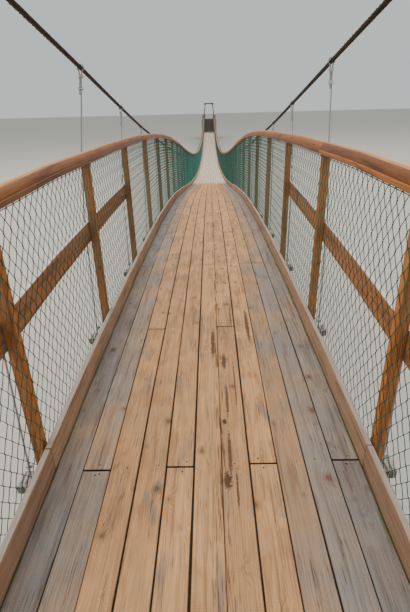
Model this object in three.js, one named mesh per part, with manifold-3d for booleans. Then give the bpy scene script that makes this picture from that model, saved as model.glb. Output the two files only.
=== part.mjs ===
// Timber suspension footbridge, modelled at one tenth of its real size.
//
// X runs across the deck, Y along it and Z up. The origin is at mid-span, on the level that the
// abutments stand on. Sizes below are those of the real bridge in metres, times M.

import * as THREE from 'three';
import { mergeVertices } from 'three/addons/utils/BufferGeometryUtils.js';
import Module from 'manifold-3d';

const wasm = await Module();
wasm.setup();

// One real metre in millimetres of the model
const M = 100;
// Gap between pieces that touch
const GAP = 0.3;
// How far fused pieces reach into each other
const LAP = 0.05;
const SIDES = { left: -1, right: 1 };
const ENDS = { near: -1, far: 1 };

// Bays: one crossbeam, one pair of posts and one pair of hangers in the middle of each
const BAY = 1.35 * M;
const BAYS_IN_SECTION = 8;
const SECTIONS = 8;
const SECTION = BAYS_IN_SECTION * BAY;
const HALF_DECK = SECTIONS * SECTION / 2;

// Long profile of the deck, as slopes at distances from mid-span: a sagging span, a crest at each
// end and a short fall back to the bank
const SLOPES = [
  [0, 0],
  [29.7 * M, 0.136],
  [37.75 * M, 0],
  [38.0 * M, 0],
  [41.25 * M, -0.0645],
  [60 * M, -0.0645],
];
const MID_DECK = 1.0 * M;

// Deck: boards on crossbeams, with a kerb board on edge along each side
const BOARD_EDGE = 0.697 * M;
const BOARD_THICK = 0.045 * M;
const BEAM_TOP = -0.043 * M;
const BEAM_DEPTH = 0.05 * M;
const BEAM_WIDTH = 0.085 * M;
const BEAM_END = 0.872 * M;
const KERB_IN = 0.7 * M;
const KERB_OUT = 0.7285 * M;
const KERB_TOP = 0.122 * M;

// Balustrade: posts, a round-topped handrail on a flat board, a net inside the posts and, near the
// ends, a mid-rail outside them
const NET_IN = 0.7315 * M;
const NET_OUT = 0.7365 * M;
const NET_BAR = 0.02 * M;
const NET_FIRST_STRIP = 2.5 * BAY;
const NET_STRIP_EVERY = 6 * BAY;
const POST_IN = 0.7395 * M;
const POST_SIZE = 0.05 * M;
const POST_SETBACK = 0.035 * M;
const RAIL_BOARD_IN = 0.708 * M;
const RAIL_BOARD_OUT = 0.783 * M;
const RAIL_BOARD_BOTTOM = 1.157 * M;
const RAIL_BOARD_TOP = 1.181 * M;
const RAIL_ROUND_MIDDLE = 0.75 * M;
const RAIL_ROUND_CENTRE = { left: 1.191 * M, right: 1.1965 * M };
const RAIL_ROUND_RADIUS = 0.031 * M;
const RAIL_ROUND_TUCK = 0.007 * M;
const RAIL_BOARD_SLANT = 0.001 * M;
const MID_RAIL_TOP = 0.81 * M;
const MID_RAIL_DEPTH = 0.125 * M;
const MID_RAIL_THICK = 0.024 * M;
const MID_RAIL_FROM = 27.5 * BAY;

// Handrail and mid-rail aren't quite parallel to the deck: each climbs or falls at its own slope
// from a distance to mid-span, up to where it is level with the deck again
const RAIL_CLIMB = {
  left: { from: 38.0 * M, slope: 0.008 },
  right: { from: 36.8 * M, slope: 0.0137 },
};
const RAIL_CLIMB_TO = 40.5 * M;
const MID_RAIL_FALL = { left: 0.022, right: 0.048 };
// Corners of a timber's outline over this height follow the handrail's climb
const LOW_ZONE = 1.0 * M;

// Main cables; the cable's lowest point is given above the deck at mid-span, and its distance from
// the middle of the deck at distances from mid-span
const TOWER = 43.8 * M;
const SADDLE_SPREAD = 0.65 * M;
const CABLE_RADIUS = 0.014 * M;
const CABLE_LOW = 1.167 * M;
const CABLE_CURVE = 0.0021 / M;
const CABLE_PLAN = {
  left: [
    [0, 0.86 * M],
    [30 * M, 0.845 * M],
    [35.65 * M, 0.81 * M],
    [37.0 * M, 0.777 * M],
    [38.35 * M, 0.743 * M],
    [40.0 * M, 0.724 * M],
    [TOWER, SADDLE_SPREAD],
  ],
  right: [
    [0, 0.86 * M],
    [30 * M, 0.845 * M],
    [35.65 * M, 0.815 * M],
    [37.0 * M, 0.793 * M],
    [38.35 * M, 0.773 * M],
    [40.0 * M, 0.757 * M],
    [TOWER, SADDLE_SPREAD],
  ],
};

// Hangers, with how far out they have to be at the height of each rail
const HANGER_RADIUS = 0.0045 * M;
const HANGER_FOOT = 0.815 * M;
const HANGER_TOP_SETBACK = 0.14 * M;
const HANGER_AT_RAIL = 0.7925 * M;
const HANGER_AT_MID_RAIL = 0.8215 * M;
const HANGER_BEND = 1.2 * M;

// Towers, backstays and abutments
const SADDLE_RADIUS = 0.5 * M;
const SADDLE_HALF_WIDTH = 0.07 * M;
const BACKSTAY_FALL = 22 * Math.PI / 180;
const SADDLE_RISE = 0.12 * M;
const PORTAL_DEPTH = 0.18 * M;
const PORTAL_HALF_LENGTH = 0.85 * M;
const LEG_RADIUS = 0.08 * M;
const LEG_FOOT = 1.0 * M;
const PLATE_THICK = 0.03 * M;
const PLATE_HALF = 0.17 * M;
const ABUTMENT_HALF_WIDTH = 1.35 * M;
const ABUTMENT_LAP = 0.01 * M;
const ANCHOR_BLOCK_IN = 0.75 * M;
const ANCHOR_BLOCK_FRONT = 49.9 * M;
const ANCHOR_BLOCK_BACK = 51.2 * M;
const ANCHOR_BLOCK_RISE = 0.75 * M;
const ANCHOR_SPREAD = 1.05 * M;
const SOCKET_LENGTH = 0.35 * M;
const SOCKET_WIDE = 0.055 * M;
const SOCKET_NARROW = 0.03 * M;
const ANCHOR_PLATE_THICK = 0.05 * M;
const ANCHOR_PLATE_HALF = 0.15 * M;

const finishes = {
  boards: { color: 0x9a8068, roughness: 0.85 },
  kerb: { color: 0x8d7b6c, roughness: 0.85 },
  stained: { color: 0xa0622f, roughness: 0.6 },
  net: { color: 0x1d5a44, roughness: 0.5 },
  rope: { color: 0x35322f, roughness: 0.6, metalness: 0.7 },
  steel: { color: 0x3c4038, roughness: 0.55, metalness: 0.6 },
  concrete: { color: 0x9d9a92, roughness: 0.95 },
};

// Deck level on the smooth curve, by adding up the slopes from mid-span
function curveLevel(y) {
  const distance = Math.abs(y);
  let level = MID_DECK;
  for (let k = 1; k < SLOPES.length; k += 1) {
    const [from, slopeFrom] = SLOPES[k - 1];
    const [to, slopeTo] = SLOPES[k];
    const reach = Math.min(distance, to) - from;
    if (reach > 0) {
      const slopeHere = slopeFrom + (slopeTo - slopeFrom) * reach / (to - from);
      level += reach * (slopeFrom + slopeHere) / 2;
    }
  }
  return level;
}

// Stations where timbers bend: every bay in the end sections, every second bay between them
function stations(from, to) {
  const list = [from];
  const firstBay = Math.round(from / BAY);
  const lastBay = Math.round(to / BAY);
  for (let bay = firstBay + 1; bay < lastBay; bay += 1) {
    const inEndSection = Math.abs(bay * BAY) > HALF_DECK - SECTION;
    if (inEndSection || bay % 2 === 0) {
      list.push(bay * BAY);
    }
  }
  list.push(to);
  return list;
}

const bends = stations(-HALF_DECK, HALF_DECK);

// Deck level on the chords between those stations
function deckLevel(y) {
  if (Math.abs(y) >= HALF_DECK) {
    return curveLevel(HALF_DECK);
  }
  const next = bends.findIndex((station) => station > y);
  const from = bends[next - 1];
  const to = bends[next];
  const part = (y - from) / (to - from);
  return curveLevel(from) * (1 - part) + curveLevel(to) * part;
}

// How far the handrail of a side has climbed over its usual height
function railClimb(sideName, y) {
  const { from, slope } = RAIL_CLIMB[sideName];
  return Math.max(Math.min(Math.abs(y), RAIL_CLIMB_TO) - from, 0) * slope;
}

// Value at a distance from mid-span, between the rows of a table
function between(table, distance) {
  const next = table.findIndex(([at]) => at > distance);
  const [from, valueFrom] = table[next - 1];
  const [to, valueTo] = table[next];
  return valueFrom + (valueTo - valueFrom) * (distance - from) / (to - from);
}

// One closed solid through a row of rings that have the same number of points
function loft(givenRings, givenOutline) {
  const clockwise = THREE.ShapeUtils.isClockWise(givenOutline);
  const outline = clockwise ? givenOutline.toReversed() : givenOutline;
  const rings = clockwise ? givenRings.map((ring) => ring.toReversed()) : givenRings;
  const count = outline.length;
  const positions = rings.flat().flatMap((point) => [point.x, point.y, point.z]);
  const faces = [];
  for (let ring = 0; ring + 1 < rings.length; ring += 1) {
    for (let k = 0; k < count; k += 1) {
      const a = ring * count + k;
      const b = ring * count + (k + 1) % count;
      faces.push([a, b, b + count], [a, b + count, a + count]);
    }
  }
  const last = (rings.length - 1) * count;
  const cap = THREE.ShapeUtils.triangulateShape(outline, []);
  for (const [a, b, c] of cap) {
    faces.push([a, c, b], [last + a, last + b, last + c]);
  }
  const corner = (index) => new THREE.Vector3().fromArray(positions, 3 * index);
  let volume = 0;
  for (const [a, b, c] of faces) {
    volume += corner(a).dot(corner(b).cross(corner(c)));
  }
  const outward = volume > 0 ? faces : faces.map(([a, b, c]) => [a, c, b]);
  const geometry = new THREE.BufferGeometry();
  geometry.setAttribute('position', new THREE.Float32BufferAttribute(positions, 3));
  geometry.setIndex(outward.flat());
  return geometry;
}

// A timber that follows the deck: its X-Z outline at each station, lifted to the deck's level, with
// the corners over LOW_ZONE following the handrail too
function alongDeck(outline, ys, sideName) {
  const rings = ys.map((y) => outline.map((corner) => {
    const climb = corner.y > LOW_ZONE ? railClimb(sideName, y) : 0;
    return new THREE.Vector3(corner.x, y, deckLevel(y) + corner.y + climb);
  }));
  return loft(rings, outline);
}

// A round bar through points, with the radius at each point
function bar(points, radii, sides) {
  const outline = [];
  for (let k = 0; k < sides; k += 1) {
    const angle = 2 * Math.PI * (k + 0.5) / sides;
    outline.push(new THREE.Vector2(Math.cos(angle), Math.sin(angle)));
  }
  const rings = points.map((point, k) => {
    const before = points[Math.max(k - 1, 0)];
    const after = points[Math.min(k + 1, points.length - 1)];
    const along = after.clone().sub(before).normalize();
    const guide = Math.abs(along.z) > 0.9 ? new THREE.Vector3(0, 1, 0) : new THREE.Vector3(0, 0, 1);
    const across = guide.clone().cross(along).normalize();
    const up = along.clone().cross(across);
    return outline.map((corner) => point.clone()
      .addScaledVector(across, corner.x * radii[k])
      .addScaledVector(up, corner.y * radii[k]));
  });
  return loft(rings, outline);
}

function box(low, high) {
  const size = high.clone().sub(low);
  const geometry = new THREE.BoxGeometry(size.x, size.y, size.z);
  geometry.translate(low.x + size.x / 2, low.y + size.y / 2, low.z + size.z / 2);
  return geometry;
}

function toSolid(geometry) {
  const bare = geometry.clone();
  bare.deleteAttribute('normal');
  bare.deleteAttribute('uv');
  const merged = mergeVertices(bare, 1e-5);
  const mesh = new wasm.Mesh({
    numProp: 3,
    vertProperties: Float32Array.from(merged.attributes.position.array),
    triVerts: Uint32Array.from(merged.index.array),
  });
  return new wasm.Manifold(mesh);
}

function fuse(geometries) {
  let solid = toSolid(geometries[0]);
  for (const geometry of geometries.slice(1)) {
    solid = solid.add(toSolid(geometry));
  }
  const mesh = solid.getMesh();
  const joined = new THREE.BufferGeometry();
  joined.setAttribute('position', new THREE.Float32BufferAttribute(mesh.vertProperties, 3));
  joined.setIndex(Array.from(mesh.triVerts));
  return joined;
}

const rectangle = (x0, z0, x1, z1) => [
  new THREE.Vector2(x0, z0),
  new THREE.Vector2(x1, z0),
  new THREE.Vector2(x1, z1),
  new THREE.Vector2(x0, z1),
];

// An outline for the other side of the deck
const toSide = (outline, side) => outline.map((corner) => new THREE.Vector2(side * corner.x, corner.y));

const bridge = new THREE.Group();

function addPiece(name, geometry, finish, group) {
  geometry.computeVertexNormals();
  const piece = new THREE.Mesh(geometry, new THREE.MeshStandardMaterial(finishes[finish]));
  piece.name = name;
  group.add(piece);
}

function beamPositions(from, to) {
  const list = [];
  for (let y = from + BAY / 2; y < to; y += BAY) {
    list.push(y);
  }
  return list;
}

// Deck section: boards as one sheet, nailed to the crossbeams of eight bays
function deckSection(from, to) {
  const ys = stations(from, to);
  ys[0] += GAP / 2;
  ys[ys.length - 1] -= GAP / 2;
  const parts = [alongDeck(rectangle(-BOARD_EDGE, -BOARD_THICK, BOARD_EDGE, 0), ys)];
  const beam = rectangle(-BEAM_END, BEAM_TOP - BEAM_DEPTH, BEAM_END, BEAM_TOP);
  for (const y of beamPositions(from, to)) {
    parts.push(alongDeck(beam, [y - BEAM_WIDTH / 2, y + BEAM_WIDTH / 2]));
  }
  return fuse(parts);
}

// Handrail outline: a round-topped timber on a flat board
function handrailOutline(sideName) {
  const centre = RAIL_ROUND_CENTRE[sideName];
  const points = [
    new THREE.Vector2(RAIL_BOARD_IN, RAIL_BOARD_BOTTOM),
    new THREE.Vector2(RAIL_BOARD_OUT, RAIL_BOARD_BOTTOM),
    new THREE.Vector2(RAIL_BOARD_OUT, RAIL_BOARD_TOP),
    new THREE.Vector2(RAIL_ROUND_MIDDLE + RAIL_ROUND_RADIUS - RAIL_ROUND_TUCK, RAIL_BOARD_TOP),
  ];
  for (const degrees of [0, 45, 90, 135, 180]) {
    const angle = degrees * Math.PI / 180;
    points.push(new THREE.Vector2(
      RAIL_ROUND_MIDDLE + RAIL_ROUND_RADIUS * Math.cos(angle),
      centre + RAIL_ROUND_RADIUS * Math.sin(angle)));
  }
  points.push(new THREE.Vector2(RAIL_ROUND_MIDDLE - RAIL_ROUND_RADIUS, RAIL_BOARD_TOP));
  points.push(new THREE.Vector2(RAIL_BOARD_IN, RAIL_BOARD_TOP - RAIL_BOARD_SLANT));
  return points;
}

// Stretches of a section that have a mid-rail: from the third post out to the deck's end
function midRailStations(ys) {
  const start = MID_RAIL_FROM - POST_SETBACK - POST_SIZE / 2;
  const outside = ys.filter((y) => Math.abs(y) > start);
  if (outside.length === 0) {
    return [];
  }
  return outside[0] < 0 ? [...outside, -start] : [start, ...outside];
}

function midRailTop(sideName, y) {
  return MID_RAIL_TOP - (Math.abs(y) - MID_RAIL_FROM) * MID_RAIL_FALL[sideName];
}

function midRail(ys, sideName) {
  const inner = POST_IN + POST_SIZE - LAP;
  const outer = POST_IN + POST_SIZE + MID_RAIL_THICK;
  const outline = rectangle(inner, -MID_RAIL_DEPTH, outer, 0);
  const rings = ys.map((y) => {
    const top = deckLevel(y) + midRailTop(sideName, y);
    return outline.map((corner) => new THREE.Vector3(SIDES[sideName] * corner.x, y, top + corner.y));
  });
  return loft(rings, toSide(outline, SIDES[sideName]));
}

// Balustrade section: posts on the crossbeams, joined by handrail and mid-rail
function balustradeSection(from, to, sideName) {
  const side = SIDES[sideName];
  const ys = stations(from, to);
  ys[0] += GAP / 2;
  ys[ys.length - 1] -= GAP / 2;
  const post = rectangle(POST_IN, BEAM_TOP + GAP, POST_IN + POST_SIZE, RAIL_BOARD_BOTTOM + LAP);
  const parts = [alongDeck(toSide(handrailOutline(sideName), side), ys, sideName)];
  const midRailYs = midRailStations(ys);
  if (midRailYs.length > 0) {
    parts.push(midRail(midRailYs, sideName));
  }
  for (const y of beamPositions(from, to)) {
    const middle = y - Math.sign(y) * POST_SETBACK;
    const faces = [middle - POST_SIZE / 2, middle + POST_SIZE / 2];
    parts.push(alongDeck(toSide(post, side), faces, sideName));
  }
  return fuse(parts);
}

// Places of the net's upright strips: at both ends and along every sixth post
function netStrips() {
  const places = [HALF_DECK - NET_BAR / 2];
  for (let y = NET_FIRST_STRIP; y < HALF_DECK; y += NET_STRIP_EVERY) {
    places.push(y - POST_SETBACK);
  }
  return places.flatMap((y) => [-y, y]);
}

// Net: a wire along its foot, middle and head, joined by the strips, with open fields between them
// that stand for the fine mesh
function net(sideName) {
  const side = SIDES[sideName];
  const foot = BEAM_TOP + GAP;
  const head = RAIL_BOARD_BOTTOM - GAP;
  const parts = [foot, (foot + head - NET_BAR) / 2, head - NET_BAR].map((low) => {
    const wire = rectangle(NET_IN, low, NET_OUT, low + NET_BAR);
    return alongDeck(toSide(wire, side), bends, sideName);
  });
  const strip = rectangle(NET_IN, foot + NET_BAR / 2, NET_OUT, head - NET_BAR / 2);
  for (const y of netStrips()) {
    parts.push(alongDeck(toSide(strip, side), [y - NET_BAR / 2, y + NET_BAR / 2], sideName));
  }
  return fuse(parts);
}

function cableHeight(y) {
  return MID_DECK + CABLE_LOW + CABLE_CURVE * y * y;
}

const cableSpread = (sideName, y) => between(CABLE_PLAN[sideName], Math.abs(y));

// The bend over a saddle, from the span's slope to the backstay's, and the run down to the socket
const spanSlope = Math.atan(2 * CABLE_CURVE * TOWER);
const bendStart = TOWER - SADDLE_RADIUS * Math.sin(spanSlope);
const bendMiddleZ = cableHeight(bendStart) - SADDLE_RADIUS * Math.cos(spanSlope);
const bendEnd = TOWER + SADDLE_RADIUS * Math.sin(BACKSTAY_FALL);
const bendEndZ = bendMiddleZ + SADDLE_RADIUS * Math.cos(BACKSTAY_FALL);
const portalTop = bendMiddleZ + SADDLE_RADIUS - SADDLE_RISE;
const anchorZ = bendEndZ - Math.tan(BACKSTAY_FALL) * (ANCHOR_BLOCK_FRONT - bendEnd);

const saddlePoint = (end, side) => new THREE.Vector3(side * SADDLE_SPREAD, end * bendEnd, bendEndZ);
const anchorPoint = (end, side) => (
  new THREE.Vector3(side * ANCHOR_SPREAD, end * (ANCHOR_BLOCK_FRONT - ANCHOR_PLATE_THICK - GAP), anchorZ));

function socketTip(end, side) {
  const back = saddlePoint(end, side).sub(anchorPoint(end, side)).normalize();
  return anchorPoint(end, side).addScaledVector(back, SOCKET_LENGTH);
}

function endOfCable(end, side) {
  const toTower = saddlePoint(end, side).sub(socketTip(end, side)).normalize();
  const points = [socketTip(end, side).addScaledVector(toTower, GAP)];
  const steps = 4;
  for (let k = 0; k <= steps; k += 1) {
    const angle = BACKSTAY_FALL - (BACKSTAY_FALL + spanSlope) * k / steps;
    points.push(new THREE.Vector3(
      side * SADDLE_SPREAD,
      end * (TOWER + SADDLE_RADIUS * Math.sin(angle)),
      bendMiddleZ + SADDLE_RADIUS * Math.cos(angle)));
  }
  return points;
}

// Hanger from a crossbeam up to the cable, bent outwards where a rail is in its way
function hanger(sideName, beamY, top) {
  const side = SIDES[sideName];
  const level = deckLevel(beamY);
  const foot = new THREE.Vector3(side * HANGER_FOOT, beamY, level + BEAM_TOP + GAP);
  const rails = [[level + HANGER_BEND + railClimb(sideName, beamY), HANGER_AT_RAIL]];
  if (Math.abs(beamY) > MID_RAIL_FROM - BAY / 2) {
    rails.unshift([level + midRailTop(sideName, beamY), HANGER_AT_MID_RAIL]);
  }
  const points = [foot];
  for (const [height, spread] of rails) {
    const point = foot.clone().lerp(top, (height - foot.z) / (top.z - foot.z));
    if (height < top.z && Math.abs(point.x) < spread) {
      point.x = side * spread;
      points.push(point);
    }
  }
  points.push(top);
  return bar(points, points.map(() => HANGER_RADIUS), 4);
}

// Main cable from socket to socket, with a hanger down to each crossbeam end; the hangers lean a
// little towards mid-span
function cableWithHangers(sideName) {
  const side = SIDES[sideName];
  const span = bends.filter((y) => Math.abs(y) < HALF_DECK).map((y) => (
    new THREE.Vector3(side * cableSpread(sideName, y), y, cableHeight(y))));
  const points = [...endOfCable(-1, side), ...span, ...endOfCable(1, side).reverse()];
  const parts = [bar(points, points.map(() => CABLE_RADIUS), 8)];
  for (const y of beamPositions(-HALF_DECK, HALF_DECK)) {
    const topY = y - Math.sign(y) * HANGER_TOP_SETBACK;
    const next = points.findIndex((point) => point.y > topY);
    const part = (topY - points[next - 1].y) / (points[next].y - points[next - 1].y);
    const top = points[next - 1].clone().lerp(points[next], part);
    parts.push(hanger(sideName, y, top));
  }
  return fuse(parts);
}

const approachLevel = deckLevel(HALF_DECK);

// Abutment: one mass of concrete from the lowest level up to the path, with two anchor blocks
function abutment(end) {
  const front = end * (HALF_DECK + GAP);
  const back = end * ANCHOR_BLOCK_BACK;
  const low = Math.min(front, back);
  const high = Math.max(front, back);
  const parts = [box(
    new THREE.Vector3(-ABUTMENT_HALF_WIDTH, low, 0),
    new THREE.Vector3(ABUTMENT_HALF_WIDTH, high, approachLevel))];
  const blockLow = Math.min(end * ANCHOR_BLOCK_FRONT, back);
  const blockHigh = Math.max(end * ANCHOR_BLOCK_FRONT, back);
  for (const side of Object.values(SIDES)) {
    const inner = side * ANCHOR_BLOCK_IN;
    const outer = side * ABUTMENT_HALF_WIDTH;
    parts.push(box(
      new THREE.Vector3(Math.min(inner, outer), blockLow, approachLevel - ABUTMENT_LAP),
      new THREE.Vector3(Math.max(inner, outer), blockHigh, approachLevel + ANCHOR_BLOCK_RISE)));
  }
  return fuse(parts);
}

// Tower leg: a round tube leaning inwards, between a foot plate and a head plate
function towerLeg(end, side) {
  const y = end * TOWER;
  const footZ = approachLevel + GAP;
  const headZ = portalTop - PORTAL_DEPTH - GAP;
  const foot = new THREE.Vector3(side * LEG_FOOT, y, footZ + PLATE_THICK / 2);
  const head = new THREE.Vector3(side * SADDLE_SPREAD, y, headZ - PLATE_THICK / 2);
  const plate = (x, z) => box(
    new THREE.Vector3(x - PLATE_HALF, y - PLATE_HALF, z),
    new THREE.Vector3(x + PLATE_HALF, y + PLATE_HALF, z + PLATE_THICK));
  return fuse([
    bar([foot, head], [LEG_RADIUS, LEG_RADIUS], 12),
    plate(side * LEG_FOOT, footZ),
    plate(side * SADDLE_SPREAD, headZ - PLATE_THICK),
  ]);
}

function portalBeam(end) {
  const half = PORTAL_DEPTH / 2;
  return box(
    new THREE.Vector3(-PORTAL_HALF_LENGTH, end * TOWER - half, portalTop - PORTAL_DEPTH),
    new THREE.Vector3(PORTAL_HALF_LENGTH, end * TOWER + half, portalTop));
}

// Saddle: a block with a round top that the cable bends over
function saddle(end, side) {
  const radius = SADDLE_RADIUS - CABLE_RADIUS - GAP;
  const outline = [];
  const steps = 6;
  for (let k = 0; k <= steps; k += 1) {
    const angle = -spanSlope + (BACKSTAY_FALL + spanSlope) * k / steps;
    outline.push(new THREE.Vector2(
      end * (TOWER + radius * Math.sin(angle)), bendMiddleZ + radius * Math.cos(angle)));
  }
  const base = portalTop + GAP;
  outline.push(new THREE.Vector2(outline[steps].x, base), new THREE.Vector2(outline[0].x, base));
  const rings = [-1, 1].map((edge) => outline.map((corner) => (
    new THREE.Vector3(side * SADDLE_SPREAD + edge * SADDLE_HALF_WIDTH, corner.x, corner.y))));
  return loft(rings, outline);
}

// Cable anchor: a tapered socket on a plate that is bolted to the anchor block
function cableAnchor(end, side) {
  const seat = anchorPoint(end, side);
  const tip = socketTip(end, side);
  const back = end * (ANCHOR_BLOCK_FRONT - GAP);
  const plate = box(
    new THREE.Vector3(seat.x - ANCHOR_PLATE_HALF, Math.min(seat.y, back), seat.z - ANCHOR_PLATE_HALF),
    new THREE.Vector3(seat.x + ANCHOR_PLATE_HALF, Math.max(seat.y, back), seat.z + ANCHOR_PLATE_HALF));
  const inwards = seat.clone().sub(tip).normalize();
  const inside = seat.clone().addScaledVector(inwards, ANCHOR_PLATE_THICK / 2);
  return fuse([bar([inside, tip], [SOCKET_WIDE, SOCKET_NARROW], 10), plate]);
}

const deck = new THREE.Group();
const balustrades = new THREE.Group();
bridge.add(deck, balustrades);
for (let section = 0; section < SECTIONS; section += 1) {
  const from = -HALF_DECK + section * SECTION;
  const to = from + SECTION;
  const number = section + 1;
  addPiece(`deck_section_${number}`, deckSection(from, to), 'boards', deck);
  for (const sideName of Object.keys(SIDES)) {
    const balustrade = balustradeSection(from, to, sideName);
    addPiece(`balustrade_${sideName}_${number}`, balustrade, 'stained', balustrades);
  }
}

for (const [sideName, side] of Object.entries(SIDES)) {
  const kerb = rectangle(KERB_IN, BEAM_TOP + GAP, KERB_OUT, KERB_TOP);
  addPiece(`kerb_${sideName}`, alongDeck(toSide(kerb, side), bends, sideName), 'kerb', deck);
  addPiece(`net_${sideName}`, net(sideName), 'net', balustrades);
  addPiece(`main_cable_${sideName}`, cableWithHangers(sideName), 'rope', bridge);
}

for (const [endName, end] of Object.entries(ENDS)) {
  const tower = new THREE.Group();
  bridge.add(tower);
  addPiece(`abutment_${endName}`, abutment(end), 'concrete', tower);
  addPiece(`portal_beam_${endName}`, portalBeam(end), 'steel', tower);
  for (const [sideName, side] of Object.entries(SIDES)) {
    addPiece(`tower_leg_${endName}_${sideName}`, towerLeg(end, side), 'steel', tower);
    addPiece(`saddle_${endName}_${sideName}`, saddle(end, side), 'steel', tower);
    addPiece(`cable_anchor_${endName}_${sideName}`, cableAnchor(end, side), 'steel', tower);
  }
}

export default bridge;
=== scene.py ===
# %% [markdown]
# # A timber suspension footbridge at one tenth scale
# A walkway of sawn planks hangs from two steel wire ropes. The construction comes from the packed
# CAD model, and this notebook adds what the eye looks for: single planks with open seams, nails,
# a fence of coated wire, twisted ropes with their clips, and finishes that have grain and wear.
# The model is at 1:10, so sizes are written as those of the real bridge in metres and times M.

# %% Load the frame
import bmesh
import bpy
import math
import numpy as np
from functools import partial
from mathutils import Matrix, Vector
from types import SimpleNamespace


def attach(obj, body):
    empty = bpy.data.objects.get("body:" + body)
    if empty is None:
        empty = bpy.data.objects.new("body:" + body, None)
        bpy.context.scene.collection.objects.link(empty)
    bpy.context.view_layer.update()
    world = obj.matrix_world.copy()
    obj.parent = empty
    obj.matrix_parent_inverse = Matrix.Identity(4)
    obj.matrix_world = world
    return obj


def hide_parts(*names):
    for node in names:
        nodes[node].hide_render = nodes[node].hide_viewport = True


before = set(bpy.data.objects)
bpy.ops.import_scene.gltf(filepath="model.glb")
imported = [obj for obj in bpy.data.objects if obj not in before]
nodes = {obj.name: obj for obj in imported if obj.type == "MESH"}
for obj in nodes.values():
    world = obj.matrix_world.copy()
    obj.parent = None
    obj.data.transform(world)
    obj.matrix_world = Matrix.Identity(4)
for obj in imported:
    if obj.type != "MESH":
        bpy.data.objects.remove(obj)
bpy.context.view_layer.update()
M = 0.1
rng = np.random.default_rng(12)

# %% [markdown]
# ## The long profile
# Everything on the bridge follows the deck: it sags in the span, rises to a crest near each end and
# then falls a little to the bank. The slope at a few distances from mid-span says it all, and adding
# the slopes up gives the level. Timbers are straight between bends, so the level is taken on chords.

# %% Deck level
BAY = 1.35
BAYS = 64
HALF_DECK = BAYS * BAY / 2
SECTIONS = range(1, 9)
END_SECTION = 8 * BAY
MID_DECK = 1.0
SLOPES = [(0, 0), (29.7, 0.136), (37.75, 0), (38.0, 0), (41.25, -0.0645), (60, -0.0645)]


def curve_level(y):
    level = MID_DECK
    for (start, slope_start), (stop, slope_stop) in zip(SLOPES, SLOPES[1:]):
        reach = min(abs(y), stop) - start
        if reach > 0:
            slope_here = slope_start + (slope_stop - slope_start) * reach / (stop - start)
            level += reach * (slope_start + slope_here) / 2
    return level


inner_bends = [bay * BAY for bay in range(-BAYS // 2 + 1, BAYS // 2)
               if abs(bay * BAY) > HALF_DECK - END_SECTION or bay % 2 == 0]
bends = np.array([-HALF_DECK, *inner_bends, HALF_DECK])
bend_levels = np.array([curve_level(y) for y in bends])


def deck_level(y):
    return np.interp(y, bends, bend_levels)


beams = np.array([(k + 0.5) * BAY for k in range(-BAYS // 2, BAYS // 2)])
SIDES = {"left": -1, "right": 1}
print("deck", 2 * HALF_DECK, "m long, level", round(float(deck_level(HALF_DECK)), 3), "m at its ends")

# %% [markdown]
# ## The camera
# The photograph was taken by someone who stood on the walkway near one end, with the eye 1.54 m above
# the planks, and looked down and along. The values were fitted to plank seams, posts and rails.
# They come first because everything after is seen through this view.

# %% Camera
EYE_Y = -41.25
EYE_X = 0.0321
EYE_HEIGHT = 1.5434
PITCH = math.radians(25.03)
YAW = math.radians(-1.111)
ROLL = math.radians(-1.458)
FOCAL_PIXELS = 420.5
FRAME_HEIGHT = 612
SENSOR = 36.0


def placed(name, data):
    thing = bpy.data.objects.new(name, data)
    bpy.context.scene.collection.objects.link(thing)
    return thing


level_ahead = Vector((math.sin(YAW), math.cos(YAW), 0))
rightwards = Vector((math.cos(YAW), -math.sin(YAW), 0))
ahead = level_ahead * math.cos(PITCH) - Vector((0, 0, 1)) * math.sin(PITCH)
upwards = level_ahead * math.sin(PITCH) + Vector((0, 0, 1)) * math.cos(PITCH)
camera_right = rightwards * math.cos(ROLL) + upwards * math.sin(ROLL)
camera_up = upwards * math.cos(ROLL) - rightwards * math.sin(ROLL)
eye = Vector((EYE_X, EYE_Y, curve_level(EYE_Y) + EYE_HEIGHT)) * M

lens = bpy.data.cameras.new("photo_camera")
lens.sensor_fit = "VERTICAL"
lens.sensor_height = SENSOR
lens.sensor_width = SENSOR
lens.lens = FOCAL_PIXELS / FRAME_HEIGHT * SENSOR
lens.clip_start = 0.005
lens.clip_end = 200
camera = placed("photo_camera", lens)
turn = Matrix((camera_right, camera_up, -ahead)).transposed()
camera.matrix_world = Matrix.Translation(eye) @ turn.to_4x4()
bpy.context.scene.camera = camera
print("lens", round(lens.lens, 2), "mm, eye at", [round(v, 4) for v in eye])

# %% [markdown]
# ## Colours and nodes
# Finish colours are written as sRGB hex, the way a colour picker shows them, and one function turns
# them to linear light. One small function adds any node, so a material or a Geometry Nodes tree reads
# as a list of steps. Its values fill the sockets in their order. Names with a capital are sockets
# too, small ones are settings, and a word after the kind is the operation. Unless a setting says
# otherwise, what is mixed is colour, and a range is eased in and out of.

# %% Helpers for colours and nodes
def srgb(code):
    channels = [int(code[k:k + 2], 16) / 255 for k in (1, 3, 5)]
    return tuple(c / 12.92 if c <= 0.04045 else ((c + 0.055) / 1.055) ** 2.4 for c in channels) + (1.0,)


def fill(node, *values, **named):
    open_sockets = [s for s in node.inputs if s.enabled]
    by_name = [(next(s for s in open_sockets if s.name == key.replace("_", " ")), value)
               for key, value in named.items()]
    for socket, value in [*zip(open_sockets, values), *by_name]:
        if isinstance(value, bpy.types.Node):
            value = next(s for s in value.outputs if s.enabled)
        if isinstance(value, bpy.types.NodeSocket):
            node.id_data.links.new(value, socket)
        else:
            is_colour = isinstance(value, str) and value.startswith("#")
            socket.default_value = srgb(value) if is_colour else value
    return node


USUAL = {"Mix": {"data_type": "RGBA"}, "MapRange": {"interpolation_type": "SMOOTHSTEP"}}
TINT = {"blend_type": "MULTIPLY"}
LINEAR = {"interpolation_type": "LINEAR"}


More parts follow.
